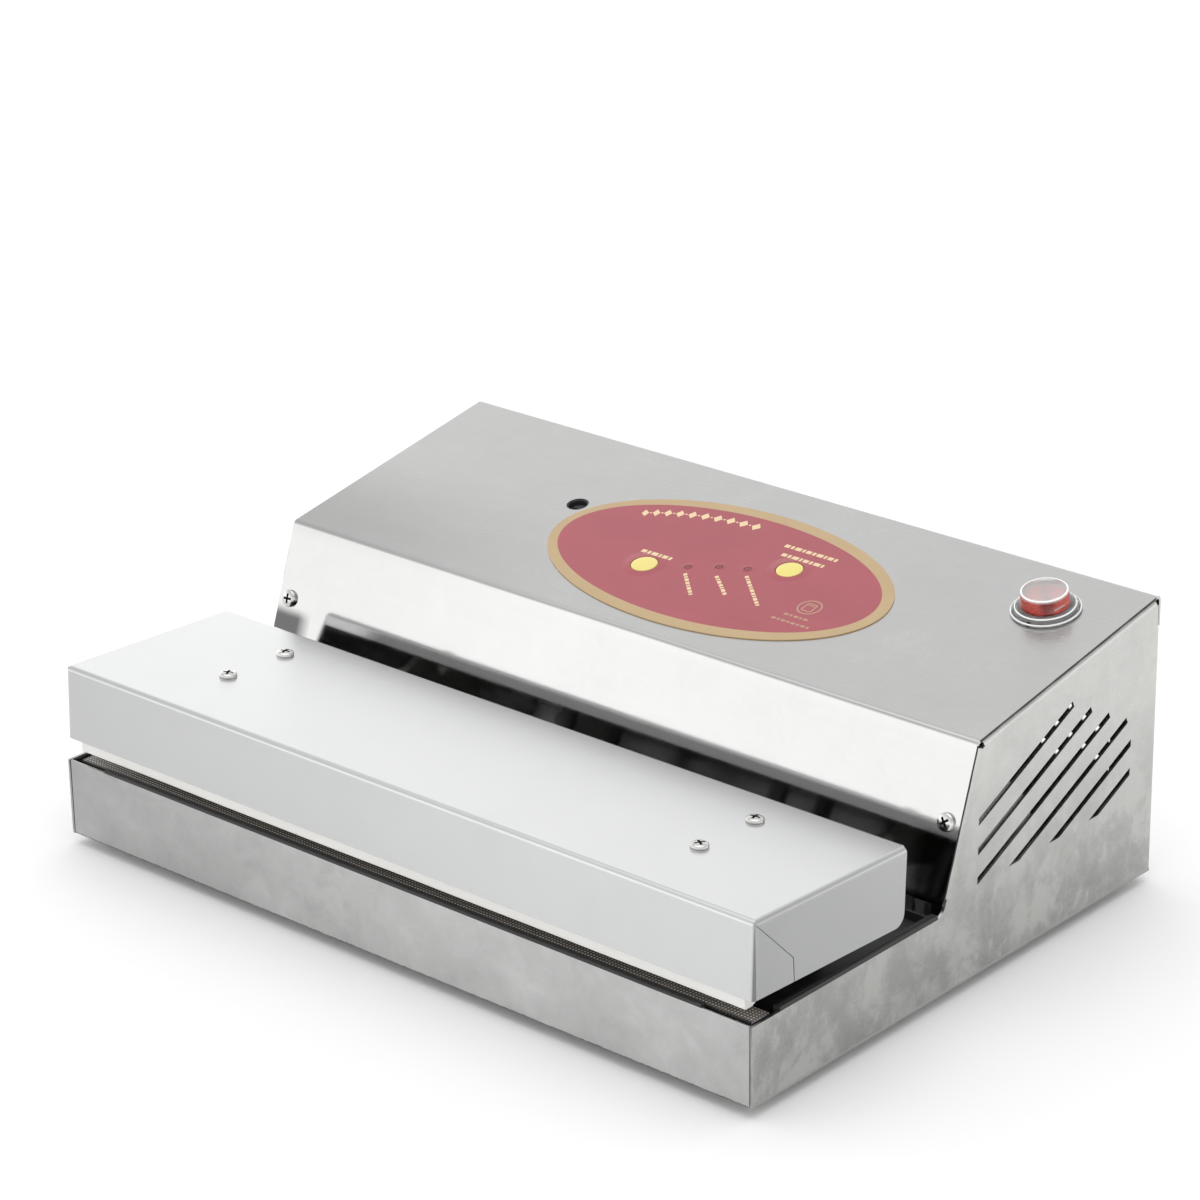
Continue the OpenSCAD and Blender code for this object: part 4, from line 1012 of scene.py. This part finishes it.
def rubber_lip(across, up, low, start, end):
    """A black rubber lip pushed on a sheet edge, with a groove along its top. across is its (lip,
    sheet face, back) and up its (underside of the lip, top)."""
    lip, face, back = across
    under, top = up
    way = math.copysign(1, back - lip)
    groove = [(lip + way * k, top - drop) for k, drop in ((0.95, 0), (1.1, 0.35), (1.5, 0.35), (1.65, 0))]
    corner_steps = 3
    outline = [(lip, under), (lip, top), (back, top), (back, low), (face, low), (face, under)]
    outline = fillet(outline, 0.35, corner_steps)
    second_corner_end = 2 * (corner_steps + 1)
    outline[second_corner_end:second_corner_end] = groove

    def drift(x, y, z):
        return y, z + (0.07 * math.sin(x / 13) - 0.03 if z > under + 0.2 else 0)

    return bar(outline, start, end, int((end - start) / 4), drift)


def side_lip(side):
    """The lip of one side panel, on the case turned a quarter."""
    return rubber_lip((-side * 189.94, -side * 188.8, -side * 186.6), (34.7, 36.8), 25, 17, 116)


piece("front_lip", rubber_lip((0.04, 1.2, 2.7), (34.6, 36.2), 25, -167, 165), CASE, "case", "black_rubber",
      "front_edge_trim", sharp=40)
piece("side_lips", joined(side_lip(side) for side in (-1, 1)), CASE @ turned_by(90), "case", "black_rubber",
      "side_edge_trims", sharp=40)
piece("tape_fold", tape_fold(), CASE, "case", "tape_fabric", "ptfe_tape", sharp=50)


# ---------------------------------------------------------------- camera, floor and light

def aim(place, target, roll):
    """Camera matrix that looks from place to target, rolled about the line of sight."""
    back = (place - target).normalized()
    right = Vector((0, 0, 1)).cross(back).normalized()
    up = back.cross(right)
    c, s = math.cos(math.radians(roll)), math.sin(math.radians(roll))
    axes = (c * right + s * up, c * up - s * right, back)
    return Matrix.Translation(place) @ Matrix(axes).transposed().to_4x4()


CAMERA_AT = Vector((1.0462, -1.1882, 0.7725))
LOOK_AT = Vector((0.0004, -0.0027, 0.1217))
camera = bpy.data.objects.new("camera", bpy.data.cameras.new("camera"))
bpy.context.scene.collection.objects.link(camera)
camera.data.sensor_width = 36
camera.data.lens = 122.804
camera.data.clip_start = 0.05
camera.data.clip_end = 60
camera.matrix_world = aim(CAMERA_AT, LOOK_AT, roll=-0.804)
bpy.context.scene.camera = camera


def studio_floor():
    """A wide, plain, pale floor."""
    mesh = bpy.data.meshes.new("floor")
    reach = 8
    mesh.from_pydata([(-reach, -reach, 0), (reach, -reach, 0), (reach, reach, 0), (-reach, reach, 0)],
                     [], [(0, 1, 2, 3)])
    floor = bpy.data.objects.new("floor", mesh)
    bpy.context.scene.collection.objects.link(floor)
    f = Finish("floor", Roughness=0.9, Base_Color=(0.95, 0.95, 0.95))
    f.bsdf.inputs["Specular IOR Level"].default_value = 0.1
    mesh.materials.append(f.material)


# Brightness of the sky against the sine of the height above the horizon
SKY = [(0.0, 1.86), (0.15, 1.81), (0.3, 1.3), (0.42, 1.17), (0.55, 0.945), (0.65, 0.83), (0.75, 0.83),
       (0.9, 1.65), (1.0, 2.05)]
BRIGHTEST = max(level for position, level in SKY)
# The way to the dim side, and how bright the light is on the far side from it and on it
DIM_WAY = (0.95, -0.31, 0)
SIDE_LEVELS = (1.12, 0.72)


def studio_world():
    """Soft light from all round: a bright horizon, a dimmer band above it, a bright overhead, and
    more light from the left and the back than from the right."""
    world = bpy.data.worlds.new("studio")
    bpy.context.scene.world = world
    world.use_nodes = True
    tree = world.node_tree
    tree.nodes.clear()
    out = tree.nodes.new("ShaderNodeOutputWorld")
    glow = tree.nodes.new("ShaderNodeBackground")
    way = tree.nodes.new("ShaderNodeTexCoord")
    axes = tree.nodes.new("ShaderNodeSeparateXYZ")
    ramp = tree.nodes.new("ShaderNodeValToRGB")
    towards = tree.nodes.new("ShaderNodeVectorMath")
    level = tree.nodes.new("ShaderNodeMapRange")
    towards.operation = "DOT_PRODUCT"
    towards.inputs[1].default_value = DIM_WAY
    for i, value in enumerate((-1.0, 1.0, *(share * BRIGHTEST for share in SIDE_LEVELS))):
        level.inputs[i + 1].default_value = value
    for a, b in ((way.outputs["Generated"], towards.inputs[0]), (way.outputs["Generated"], axes.inputs[0]),
                 (axes.outputs[2], ramp.inputs["Fac"]), (towards.outputs["Value"], level.inputs["Value"]),
                 (ramp.outputs["Color"], glow.inputs["Color"]),
                 (level.outputs["Result"], glow.inputs["Strength"]),
                 (glow.outputs[0], out.inputs["Surface"])):
        tree.links.new(a, b)
    while len(ramp.color_ramp.elements) < len(SKY):
        ramp.color_ramp.elements.new(1.0)
    for element, (position, value) in zip(ramp.color_ramp.elements, SKY):
        element.position = position
        element.color = (*[value / BRIGHTEST] * 3, 1)


studio_floor()
studio_world()
bpy.context.scene.view_settings.view_transform = "Standard"
